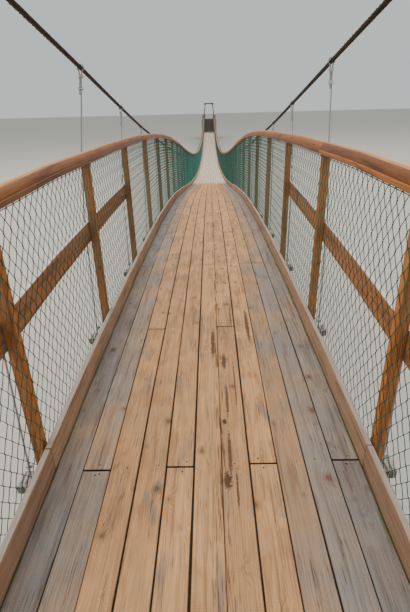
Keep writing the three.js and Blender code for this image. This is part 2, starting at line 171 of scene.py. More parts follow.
def add(tree, kind, *values, stops=(), **named):
    kind, _, operation = kind.partition(" ")
    node = tree.nodes.new(kind if "Node" in kind else "ShaderNode" + kind)
    named = {**USUAL.get(kind, {}), **({"operation": operation} if operation else {}), **named}
    for key in [key for key in named if key.islower()]:
        setattr(node, key, named.pop(key))
    for k, (position, colour) in enumerate(stops):
        elements = node.color_ramp.elements
        stop = elements[k] if k < 2 else elements.new(position)
        stop.position = position
        stop.color = srgb(colour)
    return fill(node, *values, **named)


def new_material(name):
    material = bpy.data.materials.new(name)
    material.use_nodes = True
    tree = material.node_tree
    return material, partial(add, tree), tree.nodes["Principled BSDF"]


print("white in linear light", srgb("#ffffff"))

# %% [markdown]
# ## Floor and light
# A plain pale floor and a soft, even light show the object for itself. One wide lamp over the walkway
# stands for the open sky above the river; the world fills the shadows.

# %% Stage
FLOOR_REACH = 60
SKY_PLACE = Vector((-0.9, -2.0, 4.5))
SKY_AIM = Vector((0, -1.5, 0))
SKY_SIZE = (3, 12)
SKY_WATTS = 320

floor_mesh = bpy.data.meshes.new("floor")
floor_corners = [(a * FLOOR_REACH, b * FLOOR_REACH, 0) for a, b in ((-1, -1), (1, -1), (1, 1), (-1, 1))]
floor_mesh.from_pydata(floor_corners, [], [(0, 1, 2, 3)])
floor = placed("floor", floor_mesh)
pale_floor, _, floor_shader = new_material("pale_floor")
fill(floor_shader, Base_Color="#c9c7c0", Roughness=0.9)
floor_mesh.materials.append(pale_floor)

world = bpy.data.worlds.new("soft_sky")
bpy.context.scene.world = world
world.use_nodes = True
fill(world.node_tree.nodes["Background"], Color="#eef1f2", Strength=0.75)

sky = bpy.data.lights.new("sky_over_walkway", "AREA")
sky.shape = "RECTANGLE"
sky.size, sky.size_y = SKY_SIZE
sky.energy = SKY_WATTS
sky.color = srgb("#fff4e4")[:3]
lamp = placed("sky_over_walkway", sky)
lamp.location = SKY_PLACE
lamp.rotation_euler = (SKY_AIM - SKY_PLACE).to_track_quat("-Z", "Y").to_euler()
print("floor and lamp stand")

# %% [markdown]
# ## The pattern of sawn softwood
# A plank is a slice of a trunk, so its figure is that of the growth rings it was cut through: broad
# flames where the cut runs near the middle of the tree, close lines near the edges. The pattern is
# drawn that way. Each timber carries its own coordinates, `grain`: metres along it, across it and
# into it. The distance to a line somewhere below the plank, the heart of the tree, says which ring
# a point lies in. Noise bends the line, and knots push the rings aside.
# A second attribute, `tone`, holds two random numbers of the timber, how worn it is and how stained.
# The scale of a noise is the number of its patches in a real metre, and where it is stretched there
# are three: along, across and into the wood. Fibres are drawn 6 mm wide and 17 cm long, coarser than
# real ones, because finer ones wouldn't show.

# %% Wood pattern
KNOT_LINES = 7.5


def stretched_noise(node, place, per_metre, **named):
    return node("TexNoise", node("VectorMath MULTIPLY", place, per_metre), Scale=1.0, **named)


def wood_pattern(node, ring_mm, knot_every, knot_radius):
    grain = node("Attribute", attribute_name="grain").outputs["Vector"]
    tone = node("Attribute", attribute_name="tone")
    _, across, deep = node("SeparateXYZ", grain).outputs
    chance, other, worn = node("SeparateColor", tone.outputs["Color"]).outputs

    knot_place = node("VectorMath MULTIPLY", grain, (1 / knot_every, KNOT_LINES, 0))
    cells = node("TexVoronoi", knot_place, Scale=1.0, voronoi_dimensions="2D")
    away = node("VectorMath SUBTRACT", knot_place, cells.outputs["Position"])
    away_metres = node("VectorMath MULTIPLY", away, (0.75 * knot_every, 1 / KNOT_LINES, 0))
    ragged = node("TexNoise", grain, Scale=45.0, Detail=3.0)
    distance = node("Math MULTIPLY_ADD", ragged, 0.016, node("VectorMath LENGTH", away_metres))
    knot_chance = node("SeparateColor", cells.outputs["Color"])
    knot_size = node("MapRange", knot_chance, 0.35, 1.0, 0.004, knot_radius + 0.008, **LINEAR)
    knot_edge = node("Math SUBTRACT", distance, knot_size)
    knot = node("MapRange", knot_edge, -0.007, 0.002, 1.0, 0.0)
    halo = node("MapRange", knot_edge, 0.0, 0.02, 1.0, 0.0)
    push = node("MapRange", knot_edge, -0.01, 4 * knot_radius, 1.6 * knot_radius, 0.0,
                interpolation_type="SMOOTHERSTEP")

    bend = stretched_noise(node, grain, (1.1, 7.0, 7.0), Detail=3.0, Roughness=0.6)
    heart_side = node("MapRange", chance, 0.0, 1.0, -0.07, 0.07, **LINEAR)
    heart_deep = node("MapRange", other, 0.0, 1.0, 0.015, 0.11, **LINEAR)
    side = node("Math ADD", node("Math SUBTRACT", across, heart_side), push)
    side = node("Math ADD", side, node("Math MULTIPLY", bend, 0.085))
    down = node("Math SUBTRACT", deep, heart_deep)
    radius = node("VectorMath LENGTH", node("CombineXYZ", side, down))
    ring_part = node("Math FRACT", node("Math MULTIPLY", radius, 1000 / ring_mm))
    return SimpleNamespace(
        grain=grain, chance=chance, other=other, worn=worn, stain=tone.outputs["Alpha"], knot=knot,
        halo=halo, late=node("Math POWER", ring_part, 2.2),
        fibre=stretched_noise(node, grain, (6.0, 170.0, 170.0), Detail=4.0, Distortion=0.4),
        streak=stretched_noise(node, grain, (2.2, 30.0, 30.0), Detail=4.0, Distortion=0.8),
        cloud=node("TexNoise", grain, Scale=5.0, Detail=4.0))


def upward_part(node):
    facing = node("NewGeometry").outputs["Normal"]
    return node("SeparateXYZ", facing).outputs["Z"]


print("pattern ready")

# %% [markdown]
# ## Deck planks: larch, sawn and never coated
# Feet keep the middle rows clean and tan, while the outer rows turn grey. The open span is painted
# almost white, a painted light of the bright sky over it, and the far end is painted dark, a painted
# shade of the trees there. Each board has its own tone.
# What breaks the colour up is small: the rings, dark knots, fine saw marks across the board, dark
# runs of old water along the grain and a rim of algae where the kerb keeps the boards damp. A few
# knots, bark pockets and resin runs are larger, and these are named one by one. Sawn wood that was
# never coated has no gloss: its roughness lies between 0.65 and 0.95 and changes with the fibres.

# %% Plank material
RUN_SEAM = 0.0634
SKY_LIGHT_PAINTED_TO = (22.0, 25.0)
SHADED_FROM = (20.5, 23.0)
RELIEF = 0.0015

# centre across and along, half width and half length in metres, colour
MARKS = [(0.2835, -38.5, 0.014, 0.26, "#5a371d"), (0.031, -38.75, 0.013, 0.2, "#5a371d"),
         (0.099, -38.98, 0.014, 0.09, "#5a371d"), (0.104, -39.36, 0.009, 0.13, "#6b4526"),
         (0.085, -39.53, 0.013, 0.02, "#2e282a"), (0.103, -39.74, 0.009, 0.15, "#66401f"),
         (0.086, -39.9, 0.02, 0.045, "#4f3019"), (0.128, -39.95, 0.005, 0.1, "#5f3b20"),
         (0.168, -38.35, 0.006, 0.2, "#6b4526"), (0.155, -39.2, 0.005, 0.25, "#7d4c2b")]


def worn_and_sky_lit_base(node, wood, worn, y):
    base = node("ValToRGB", worn,
                stops=[(0.0, "#989392"), (1.0, "#e6b27e"), (0.35, "#ac9b8b"), (0.7, "#d0a376")])
    base = node("Mix", 1.0, base, node("MapRange", wood.chance, 0.0, 1.0, 0.92, 1.08, **LINEAR), **TINT)
    # painted light: within 22 to 25 m of mid-span the deck is painted near white for the bright sky over it
    inner, outer = SKY_LIGHT_PAINTED_TO
    painted_sky_light = node("MapRange", node("Math ABSOLUTE", y), inner * M, outer * M, 0.97, 0.0)
    return node("Mix", painted_sky_light, base, "#ffeedd")


def with_figure(node, wood, worn, patchy, base):
    ring_colour = node("Mix", worn, "#514b47", "#8f5f38")
    ring_strength = node("MapRange", wood.streak, 0.3, 0.7, 0.2, 0.58)
    base = node("Mix", node("Math MULTIPLY", wood.late, ring_strength), base, ring_colour)
    streaks = node("MapRange", wood.streak, 0.5, 0.8, 0.0, 0.5)
    base = node("Mix", streaks, base, ring_colour)
    base = node("Mix", 1.0, base, node("MapRange", wood.fibre, 0.28, 0.72, 0.84, 1.1), **TINT)
    base = node("Mix", node("MapRange", patchy, 0.56, 0.72, 0.0, 0.6), base, "#86807c")
    orange = node("Math MULTIPLY", node("MapRange", patchy, 0.44, 0.3, 0.0, 0.45), worn)
    base = node("Mix", orange, base, "#b97f4c")
    knot_colour = node("Mix", wood.other, "#4e443f", "#6b4026")
    for mask, strength in ((wood.halo, 0.35), (wood.knot, 0.62)):
        base = node("Mix", node("Math MULTIPLY", mask, strength), base, knot_colour)
    return base


def with_marks(node, wood, place, x, base):
    runs = stretched_noise(node, wood.grain, (3.2, 62.0, 0.0), Detail=5.0, Distortion=1.2)
    seam_away = node("Math ABSOLUTE", node("Math ADD", x, -RUN_SEAM * M))
    by_seam = node("MapRange", seam_away, 0.008 * M, 0.04 * M, 1.0, 0.0)
    run_mask = node("MapRange", runs, 0.51, 0.58, 0.0, 0.85)
    broken = node("MapRange", wood.cloud, 0.42, 0.52)
    strength = node("Math MULTIPLY", node("Math MAXIMUM", by_seam, wood.stain), broken)
    base = node("Mix", node("Math MULTIPLY", run_mask, strength), base, "#6f4527")
    edge_noise = node("TexNoise", place, Scale=90.0 / M, Detail=4.0, Distortion=0.6)
    for across, along, half_wide, half_long, colour in MARKS:
        away = node("VectorMath SUBTRACT", place, (across * M, along * M, 0))
        away = node("VectorMath MULTIPLY", away, (1 / (half_wide * M), 1 / (half_long * M), 0))
        reach = node("Math MULTIPLY_ADD", edge_noise, 1.6, node("VectorMath LENGTH", away))
        mark = node("MapRange", reach, 1.45, 2.0, 0.9, 0.0)
        base = node("Mix", mark, base, colour)
    return base


def plank_material():
    material, node, shader = new_material("sawn_larch_planks")
    wood = wood_pattern(node, ring_mm=8.5, knot_every=0.42, knot_radius=0.016)
    place = node("TexCoord").outputs["Object"]
    x, y, _ = node("SeparateXYZ", place).outputs
    weather = node("TexNoise", place, Scale=2.2 / M, Detail=5.0, Roughness=0.6)
    worn = node("Math ADD", node("Math MULTIPLY_ADD", weather, 1.3, wood.worn), -0.65, use_clamp=True)
    patchy = stretched_noise(node, wood.grain, (4.0, 11.0, 0.0), Detail=5.0, Distortion=0.5)
    base = worn_and_sky_lit_base(node, wood, worn, y)
    base = with_figure(node, wood, worn, patchy, base)
    base = with_marks(node, wood, place, x, base)

    checks = stretched_noise(node, wood.grain, (1.6, 60.0, 0.0), Detail=3.0)
    line = node("Math ABSOLUTE", node("Math ADD", checks, -0.5))
    cracked = node("MapRange", patchy, 0.48, 0.6, 0.0, 0.8)
    crack = node("Math MULTIPLY", node("MapRange", line, 0.004, 0.014, 1.0, 0.0), cracked)
    base = node("Mix", crack, base, "#5b4130")
    damp_noise = node("TexNoise", place, Scale=4.0 / M, Detail=5.0)
    damp_reach = node("Math MULTIPLY_ADD", damp_noise, 0.003, node("Math ABSOLUTE", x))
    damp = node("MapRange", damp_reach, 0.699 * M, 0.71 * M, 0.0, 0.9)
    base = node("Mix", damp, base, "#52632a")
    saw_marks = node("TexWave", wood.grain, Scale=42.0, Distortion=2.5, Detail=1.0, Detail_Scale=3.0,
                     bands_direction="X").outputs[1]
    sawn = node("Math MULTIPLY", saw_marks, node("MapRange", wood.cloud, 0.4, 0.6, 0.0, 0.16))
    base = node("Mix", sawn, base, "#4d3d33")
    # painted shade: from 20.5 to 23 m on the far side the deck is darkened to near black for the shade of the
    # trees there
    shaded = node("MapRange", y, *(s * M for s in SHADED_FROM), 0.0, 0.95)
    base = node("Mix", shaded, base, "#14100e")
    # painted shade: faces turned away from up, the sides of the boards in the seams, are darkened for the
    # shade there
    painted_seam_side_shade = node("MapRange", node("Math ABSOLUTE", upward_part(node)), 0.8, 0.4, 0.0, 0.95)
    base = node("Mix", painted_seam_side_shade, base, "#261d16")

    height = node("Math MULTIPLY_ADD", wood.late, 0.6, wood.fibre)
    height = node("Math MULTIPLY_ADD", crack, -1.2, height)
    height = node("Math MULTIPLY_ADD", saw_marks, 0.35, height)
    fill(shader, Base_Color=base, Normal=node("Bump", Strength=0.6, Distance=RELIEF * M, Height=height),
         Roughness=node("MapRange", wood.fibre, 0.0, 1.0, 0.65, 0.95))
    return material


sawn_larch_planks = plank_material()
print("made", sawn_larch_planks.name)

# %% [markdown]
# ## Other timbers
# The kerbs and crossbeams are the same bare larch, grey where rain lies on them. Posts, handrails and
# mid-rails were oiled: orange-brown with darker streaks, and silver on the upper edges. The paler
# colour on upper faces is partly wear, where hands and sun took the oil away, and partly a painted
# highlight of the sky on faces that look up. They share the wood pattern, and differ in colours and
# in what lies on their upper faces, which are told apart by how far their normal points up. Bare wood
# is rough, 0.85, and old oil leaves a faint sheen, 0.5 to 0.65.

# %% Timber materials
def timber_material(name, light, dark, streak_colour, crown, crown_from, crown_to, knot_every, roughness):
    material, node, shader = new_material(name)
    wood = wood_pattern(node, ring_mm=6.0, knot_every=knot_every, knot_radius=0.011)
    blend = node("MapRange", node("Math ADD", wood.chance, wood.cloud), 0.5, 1.5)
    streaks = node("MapRange", wood.streak, 0.46, 0.72, 0.0, 0.75)
    fibres = node("MapRange", wood.fibre, 0.28, 0.72, 0.8, 1.18)
    base = node("Mix", blend, light, dark)
    base = node("Mix", streaks, base, streak_colour)
    base = node("Mix", node("Math MULTIPLY", wood.late, 0.35), base, streak_colour)
    base = node("Mix", 1.0, base, fibres, **TINT)
    base = node("Mix", node("Math MULTIPLY", wood.halo, 0.5), base, streak_colour)
    base = node("Mix", wood.knot, base, "#3d2618")
    # partly wear and partly a painted highlight: faces that look up are given a paler colour
    upward = node("Math MULTIPLY_ADD", wood.cloud, crown_to - crown_from, upward_part(node))
    worn_and_highlit_top = node("MapRange", upward, crown_from, crown_to, 0.0, 0.92)
    worn_and_highlit_top_colour = node("Mix", 1.0, crown, fibres, **TINT)
    base = node("Mix", node("Math MULTIPLY", worn_and_highlit_top, wood.worn), base, worn_and_highlit_top_colour)
    height = node("Math MULTIPLY_ADD", wood.late, 0.5, wood.fibre)
    fill(shader, Base_Color=base, Normal=node("Bump", Strength=0.45, Distance=RELIEF * M, Height=height),
         Roughness=roughness)
    return material


weathered_kerb = timber_material("weathered_larch_kerb", "#bd9a7b", "#9f8067", "#765a48", "#b3a69c",
                                 0.8, 1.1, 0.8, 0.85)
weathered_beam = timber_material("weathered_larch_beam", "#948980", "#7d736a", "#57504a", "#cfc6be",
                                 0.6, 0.9, 0.7, 0.85)
oiled_post = timber_material("oiled_larch_post", "#cf8a46", "#b36d35", "#7a4722", "#a0703f",
                             0.9, 1.3, 0.45, 0.6)
oiled_rail = timber_material("oiled_larch_handrail", "#b26d2e", "#844c1f", "#472712", "#e09b50",
                             0.88, 1.0, 0.5, 0.5)
oiled_mid_rail = timber_material("oiled_larch_mid_rail", "#bd8252", "#a06a42", "#704428", "#f1f4f4",
                                 0.8, 1.1, 0.5, 0.65)
print("made 5 timber finishes")

# %% [markdown]
# ## From outline to timber
# A sawn timber is one outline carried along a line, so all of them come from one short class. It
# takes the outline, the stations along the timber and a rule that puts a point in place, and adds
# a chamfer of a few millimetres at both ends, because a sharp edge catches no light and looks like
# a drawing. Every timber gets its own grain coordinates and tone.

# %% Timber builder
PIECE_APART = 7.31


def finished(name, mesh, material, replaced=()):
    mesh.materials.clear()
    mesh.materials.append(material)
    piece = placed(name, mesh)
    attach(piece, "root")
    if replaced:
        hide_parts(*replaced)
    return piece


def rectangle(left, right, low, high):
    return [(left, low), (right, low), (right, high), (left, high)]


def chamfered(across_from, across_to, c, d, e=0.003):
    a, b = sorted((across_from, across_to))
    return [(a + e, c), (b - e, c), (b, c + e), (b, d - e), (b - e, d), (a + e, d), (a, d - e), (a, c + e)]


class Skins:
    """Gathers skins, which are rings of corners joined one to the next, into one mesh"""

    def __init__(self):
        self.points, self.faces, self.layers = [], [], {}
        self.corner_count = 0
        self.count = 0

    def skin(self, rings, closed=False, **layers):
        n, k = rings.shape[:2]
        index = self.corner_count + np.arange(n * k).reshape(n, k)
        if closed:
            index = np.concatenate([index, index[:1]])
        after = np.roll(index, -1, axis=1)
        sides = np.stack([index[:-1], after[:-1], after[1:], index[1:]], axis=-1)
        self.faces += sides.reshape(-1, 4).tolist()
        if not closed:
            self.faces += [index[0][::-1].tolist(), index[-1].tolist()]
        self.points.append(rings.reshape(-1, 3))
        for label, values in layers.items():
            self.layers.setdefault(label, []).append(values.reshape(n * k, -1))
        self.corner_count += n * k
        self.count += 1

    def timber(self, outline, stations, place, worn=1.0, stain=0.0, chamfer=0.003):
        outline = np.asarray(outline, float)
        low, high = outline.min(axis=0), outline.max(axis=0)
        middle = (low + high) / 2
        first, *inside, last = stations
        stations = np.array([first, first + chamfer, *inside, last - chamfer, last])
        shrink = np.ones((len(stations), 1, 2))
        shrink[[0, -1]] = 1 - 2 * chamfer / (high - low)
        local = (outline[None] - middle) * shrink
        across, deep = np.moveaxis(middle + local, -1, 0)
        s = np.repeat(stations[:, None], len(outline), axis=1)
        rings = np.stack(np.broadcast_arrays(*place(across, s, deep)), axis=-1)
        grain = np.stack([s + PIECE_APART * self.count, local[..., 0], local[..., 1]], axis=-1)
        tone = np.broadcast_to([rng.random(), rng.random(), worn, stain], (*s.shape, 4))
        self.skin(rings, grain=grain, tone=tone)

    def piece(self, name, material, slot, replaced=(), smooth_degrees=None):
        mesh = bpy.data.meshes.new(name)
        mesh.from_pydata((np.concatenate(self.points) * M).tolist(), [], self.faces)
        for label, values in self.layers.items():
            data = np.concatenate(values).astype(np.float32)
            kind, field = {3: ("FLOAT_VECTOR", "vector"), 4: ("FLOAT_COLOR", "color")}[data.shape[1]]
            mesh.attributes.new(label, kind, "POINT").data.foreach_set(field, data.ravel())
        work = bmesh.new()
        work.from_mesh(mesh)
        bmesh.ops.recalc_face_normals(work, faces=work.faces)
        work.to_mesh(mesh)
        work.free()
        if smooth_degrees:
            mesh.shade_smooth()
            mesh.set_sharp_from_angle(angle=math.radians(smooth_degrees))
        return finished(name, mesh, material, replaced)


def triangles(piece):
    return sum(len(p.vertices) - 2 for p in piece.data.polygons)


print("outline of a 100 x 50 mm timber has", len(chamfered(0, 0.1, 0, 0.05)), "corners")

# %% [markdown]
# ## The deck
# Eleven rows of boards, each board three bays long and nailed to the crossbeams. The joints of the
# rows are staggered, so that never more than half of the rows ends on one beam. Boards shrink and
# warp as they dry: seams are between 3 and 9 mm wide, edges waver by a millimetre, and each board
# sits a little higher or lower than the next. Dark strips under the seams are painted shade.

# %% Planks
BOARD_EDGE = 0.697
BOARD_THICK = 0.043
ROWS = 11
ROW_WIDTH = 2 * BOARD_EDGE / ROWS
SEAMS_MM = [4, 3.5, 4, 7.5, 7, 9, 3, 8, 4.5, 5, 5, 4]
FIRST_JOINT = [1, 2, 0, 1, 2, 1, 0, 2, 1, 1, 2]
WORN = [0.12, 0.48, 0.75, 0.92, 0.98, 1.0, 1.0, 0.97, 0.66, 0.34, 0.06]
STAINED_BOARDS = {(7, 0): 0.3, (7, 1): 0.4, (8, 0): 0.5, (6, 1): 0.3, (2, 1): 0.3}
BOARD_BAYS = 3
BOARD_GAP = 0.008
BOARD_ARRIS = 0.0025
STEP = 0.33
CLEAR_OF_BEND = 0.08
CUPPING = (-0.0012, 0.0006)
UNEVEN = 0.0012
TILT = 0.012
SHORTEST_BOARD = 0.9
DECK_NODES = tuple(f"deck_section_{k}" for k in SECTIONS)

# crossbeams were laid by eye: each a little off its place, and all slightly askew the same way
BEAM_SKEW = 0.04
beam_shifts = rng.uniform(-0.02, 0.02, len(beams))
beam_shifts[2:4] = (0.0195, -0.035)
JOINT_SETBACK = 0.01


def on_deck(across, s, deep):
    return across, s, deck_level(s) + deep


def board_stations(start, stop):
    steps = max(round((stop - start) / STEP), 1)
    inside = bends[(bends > start + 0.05) & (bends < stop - 0.05)]
    plain = [s for s in np.linspace(start, stop, steps + 1)
             if np.abs(inside - s).min(initial=1) > CLEAR_OF_BEND]
    return np.unique(np.concatenate([[start, stop], inside, plain]))


def beam_line(x):
    return beams + beam_shifts + BEAM_SKEW * x


def row_middle(row):
    return -BOARD_EDGE + (row + 0.5) * ROW_WIDTH


def joints_of_row(row):
    ends = beam_line(row_middle(row))[FIRST_JOINT[row]::BOARD_BAYS] - JOINT_SETBACK
    return np.array([-HALF_DECK, *ends[np.abs(ends) < HALF_DECK - SHORTEST_BOARD], HALF_DECK])


def lay_board(work, row, start, stop, number):
    left = -BOARD_EDGE + row * ROW_WIDTH + SEAMS_MM[row] / 2000
    right = -BOARD_EDGE + (row + 1) * ROW_WIDTH - SEAMS_MM[row + 1] / 2000
    middle = (left + right) / 2
    cup = rng.uniform(*CUPPING)
    outline = [(left, -BOARD_THICK), (right, -BOARD_THICK), (right, -BOARD_ARRIS), (right - BOARD_ARRIS, 0),
               (middle, cup), (left + BOARD_ARRIS, 0), (left, -BOARD_ARRIS)]
    phase = rng.uniform(0, 6)
    lift = rng.uniform(-UNEVEN, UNEVEN)
    lean = rng.uniform(-TILT, TILT)

    def place(across, s, deep):
        waver = 0.0009 * np.sin(2.3 * s + phase) + 0.0006 * np.sin(5.1 * s + 2 * phase)
        return across + waver, s, deck_level(s) + deep + lift + lean * (across - middle)

    worn = min(max(WORN[row] + rng.uniform(-0.12, 0.12), 0), 1)
    stain = STAINED_BOARDS.get((row, number), 0.25 * (rng.random() < 0.3))
    stations = board_stations(start + BOARD_GAP / 2, stop - BOARD_GAP / 2)
    work.timber(outline, stations, place, worn, stain, chamfer=0.002)


sections = [Skins() for _ in SECTIONS]
for row in range(ROWS):
    joints = joints_of_row(row)
    for number, (start, stop) in enumerate(zip(joints, joints[1:])):
        section = int(((start + stop) / 2 + HALF_DECK) // END_SECTION)
        lay_board(sections[section], row, start, stop, number)
plank_pieces = [work.piece(f"deck_planks_{k}", sawn_larch_planks, "deck_boards", (f"deck_section_{k}",))
                for k, work in zip(SECTIONS, sections)]
print("boards", sum(w.count for w in sections), "triangles", sum(triangles(p) for p in plank_pieces))

# %% [markdown]
# The dark fill is a thin strip in each seam, 8 mm under the tread, and a patch in each joint, 18 mm under
# it. It is painted shade: it stands for the shade under the deck seen between the boards, and keeps
# light from shining up between them. The fill, rust and plastic coat are alike in one way: their colour
# is mottled, in patches of one centimetre on the fill, three on the rust and about a metre where the
# coat has faded. One function makes them. The fill has no gloss: 0.95.

# %% Painted shade in the seams
def mottled_material(name, per_metre, detail, stops, roughness, metallic=0.0, relief=0.0):
    material, node, shader = new_material(name)
    place = node("TexCoord").outputs["Object"]
    patches = node("TexNoise", place, Scale=per_metre / M, Detail=detail)
    fill(shader, Base_Color=node("ValToRGB", patches, stops=stops), Roughness=roughness, Metallic=metallic)
    if relief:
        fill(shader, Normal=node("Bump", Height=patches, Distance=relief))
    return material


# painted shade: a dark mottled fill under seams and joints stands for the shade under the deck
seam_shade_fill = mottled_material("seam_shade_fill", 70.0, 4.0, [(0.3, "#1d1813"), (0.75, "#3d3225")], 0.95,
                                relief=0.002 * M)
JOINT_SHADE_DEPTHS = (-0.0425, -0.018)
SEAM_SHADE_DEPTHS = (-0.03, -0.008)
JOINT_SHADE_HALF = 0.008
JOINT_SHADE_SHORT = 0.006
SEAM_SHADE_EXTRA = 0.0015

seam_shade_work = Skins()
for row in range(ROWS):
    left = -BOARD_EDGE + row * ROW_WIDTH
    across_row = [left + JOINT_SHADE_SHORT, left + ROW_WIDTH - JOINT_SHADE_SHORT]
    for y in joints_of_row(row)[1:-1]:
        seam_shade_work.timber(rectangle(y - JOINT_SHADE_HALF, y + JOINT_SHADE_HALF, *JOINT_SHADE_DEPTHS), across_row,
                     lambda along, s, deep: (s, along, deck_level(along) + deep), chamfer=0.001)
for seam in range(1, ROWS):
    x = -BOARD_EDGE + seam * ROW_WIDTH
    half = SEAMS_MM[seam] / 2000 + SEAM_SHADE_EXTRA
    seam_shade_work.timber(rectangle(x - half, x + half, *SEAM_SHADE_DEPTHS), bends, on_deck, chamfer=0.001)
seam_earth = seam_shade_work.piece("seam_earth", seam_shade_fill, "deck_boards", DECK_NODES)
print("seams and joints", seam_shade_work.count, "triangles", triangles(seam_earth))

# %% [markdown]
# ## Crossbeams and kerbs
# A crossbeam lies under each joint line, and its ends stand out past the kerbs to take the hangers.
# The kerbs are boards on edge, three bays long, butted over a beam.

# %% Crossbeams
BEAM_TOP = -BOARD_THICK
BEAM_DEPTH = 0.05
BEAM_WIDTH = 0.085
BEAM_END = 0.872

beam_work = Skins()
beam_outline = chamfered(-BEAM_WIDTH / 2, BEAM_WIDTH / 2, BEAM_TOP - BEAM_DEPTH, BEAM_TOP, 0.004)
for y, here in zip(beams, beam_line(0)):
    beam_work.timber(beam_outline, np.linspace(-BEAM_END, BEAM_END, 7),
                     lambda along, s, deep: (s, here + along + BEAM_SKEW * s, deck_level(y + along) + deep),
                     chamfer=0.006)
crossbeams = beam_work.piece("crossbeams", weathered_beam, "deck_boards", DECK_NODES)
print("crossbeams", beam_work.count, "triangles", triangles(crossbeams))

# %% Kerbs
KERB_IN = 0.7
KERB_OUT = 0.7285
KERB_TOP = 0.122


def lengths_from(first_beam):
    ends = np.array([-HALF_DECK, *beams[first_beam:-1:BOARD_BAYS], HALF_DECK])
    return list(zip(ends, ends[1:]))


for side_name, side in SIDES.items():
    kerb_work = Skins()
    for start, stop in lengths_from(2):
        top = KERB_TOP + rng.uniform(-0.002, 0.002)
        lean = rng.uniform(0, 0.0015)
        kerb_work.timber(chamfered(side * KERB_IN, side * KERB_OUT, BEAM_TOP, top),
                         board_stations(start + 0.002, stop - 0.002),
                         lambda across, s, deep: on_deck(across + side * lean * np.sin(1.9 * s), s, deep),
                         chamfer=0.002)
    kerb = kerb_work.piece(f"kerb_boards_{side_name}", weathered_kerb, "kerb_boards", (f"kerb_{side_name}",))
    print("kerb boards", side_name, kerb_work.count, "triangles", triangles(kerb))

# %% [markdown]
# ## Posts, handrails and mid-rails
# Each post is a small square timber behind the netting, and stands on a beam. The handrail is a
# half-round timber on a flat board: the board shows as a light ledge under it. Both come in lengths
# of three bays. The mid-rail runs outside the posts and only near the ends of the bridge.

# %% Balustrade
POST_IN = 0.7395
POST_SIZE = 0.05
POST_OUT = POST_IN + POST_SIZE
POST_SETBACK = 0.035
POST_TOP = 1.1565
HAIRLINE = 0.0003
RAIL_BOARD = (0.708, 0.783, 1.157, 1.181)
RAIL_MIDDLE = 0.75
RAIL_CENTRE = {"left": 1.191, "right": 1.1965}
RAIL_RADIUS = 0.031
RAIL_TUCK = 0.007
RAIL_BOTTOM = 1.1813
RAIL_CLIMB = {"left": (38.0, 0.008), "right": (36.8, 0.0137)}
RAIL_CLIMB_TO = 40.5
MID_RAIL_TOP = 0.81
MID_RAIL_DEPTH = 0.135
MID_RAIL_THICK = 0.024
MID_RAIL_FROM = 27.5 * BAY
MID_RAIL_FALL = {"left": 0.022, "right": 0.048}


def rail_climb(side_name, y):
    start, slope = RAIL_CLIMB[side_name]
    return np.maximum(np.minimum(np.abs(y), RAIL_CLIMB_TO) - start, 0) * slope


def mid_rail_top(side_name, y):
    return MID_RAIL_TOP - (np.abs(y) - MID_RAIL_FROM) * MID_RAIL_FALL[side_name]


def rail_outline(side_name, side):
    arc = np.radians(np.linspace(0, 180, 11))
    round_top = [(RAIL_MIDDLE + RAIL_RADIUS * math.cos(a), RAIL_CENTRE[side_name] + RAIL_RADIUS * math.sin(a))
                 for a in arc]
    foot = [(RAIL_MIDDLE - RAIL_RADIUS, RAIL_BOTTOM), (RAIL_MIDDLE + RAIL_RADIUS - RAIL_TUCK, RAIL_BOTTOM)]
    return [(side * across, height) for across, height in round_top + foot]


def balustrade_nodes(side_name):
    return tuple(f"balustrade_{side_name}_{k}" for k in SECTIONS)


def posts(side_name, side):
    work = Skins()
    for y in beams:
        middle = y - math.copysign(POST_SETBACK, y)
        outline = chamfered(side * POST_IN, side * POST_OUT, middle - POST_SIZE / 2, middle + POST_SIZE / 2,
                            0.004)
        top = POST_TOP + float(rail_climb(side_name, middle))
        work.timber(outline, np.linspace(BEAM_TOP + HAIRLINE, top, 5),
                    lambda across, s, along: (across, along, deck_level(along) + s), worn=0.0)
    return work.piece(f"posts_{side_name}", oiled_post, "stained_timber", balustrade_nodes(side_name))


def handrail(side_name, side):
    rail, ledge = Skins(), Skins()
    near, far, low, high = RAIL_BOARD
    for start, stop in lengths_from(2 if side < 0 else 0):
        stations = board_stations(start + 0.001, stop - 0.001)

        def place(across, s, deep):
            return on_deck(across, s, deep + rail_climb(side_name, s))

        rail.timber(rail_outline(side_name, side), stations, place, chamfer=0.002)
        ledge.timber(chamfered(side * near, side * far, low, high), stations, place, worn=0.0, chamfer=0.002)
    replaced = balustrade_nodes(side_name)
    return (rail.piece(f"handrail_{side_name}", oiled_rail, "stained_timber", replaced, 35),
            ledge.piece(f"handrail_board_{side_name}", oiled_rail, "stained_timber", replaced))


def mid_rails(side_name, side):
    work = Skins()
    start = MID_RAIL_FROM - POST_SETBACK - POST_SIZE / 2
    inside = [b for b in np.abs(bends) if start + 0.1 < b < HALF_DECK - 0.01]
    inner = POST_OUT + HAIRLINE
    outline = chamfered(side * inner, side * (inner + MID_RAIL_THICK), -MID_RAIL_DEPTH, 0, 0.002)
    for end in (-1, 1):
        work.timber(outline, np.unique([start, HALF_DECK, *inside])[::end] * end,
                    lambda across, s, deep: on_deck(across, s, mid_rail_top(side_name, s) + deep),
                    chamfer=0.002)
    first, *_, last = balustrade_nodes(side_name)
    return work.piece(f"mid_rails_{side_name}", oiled_mid_rail, "stained_timber", (first, last))


for side_name, side in SIDES.items():
    made = [posts(side_name, side), *handrail(side_name, side), mid_rails(side_name, side)]
    print("balustrade", side_name, "triangles", {p.name: triangles(p) for p in made})

# %% [markdown]
# ## Growing small things with Geometry Nodes
# Nails, wires, clips and bolts are one shape set down many times. Geometry Nodes do that: a mesh of
# bare points carries for each copy its turn and its stretch, a tree makes the shape once and puts it
# on each point, and the result is kept as a plain mesh. Instances are realized in the tree, because
# a model that leaves Blender keeps only real faces.

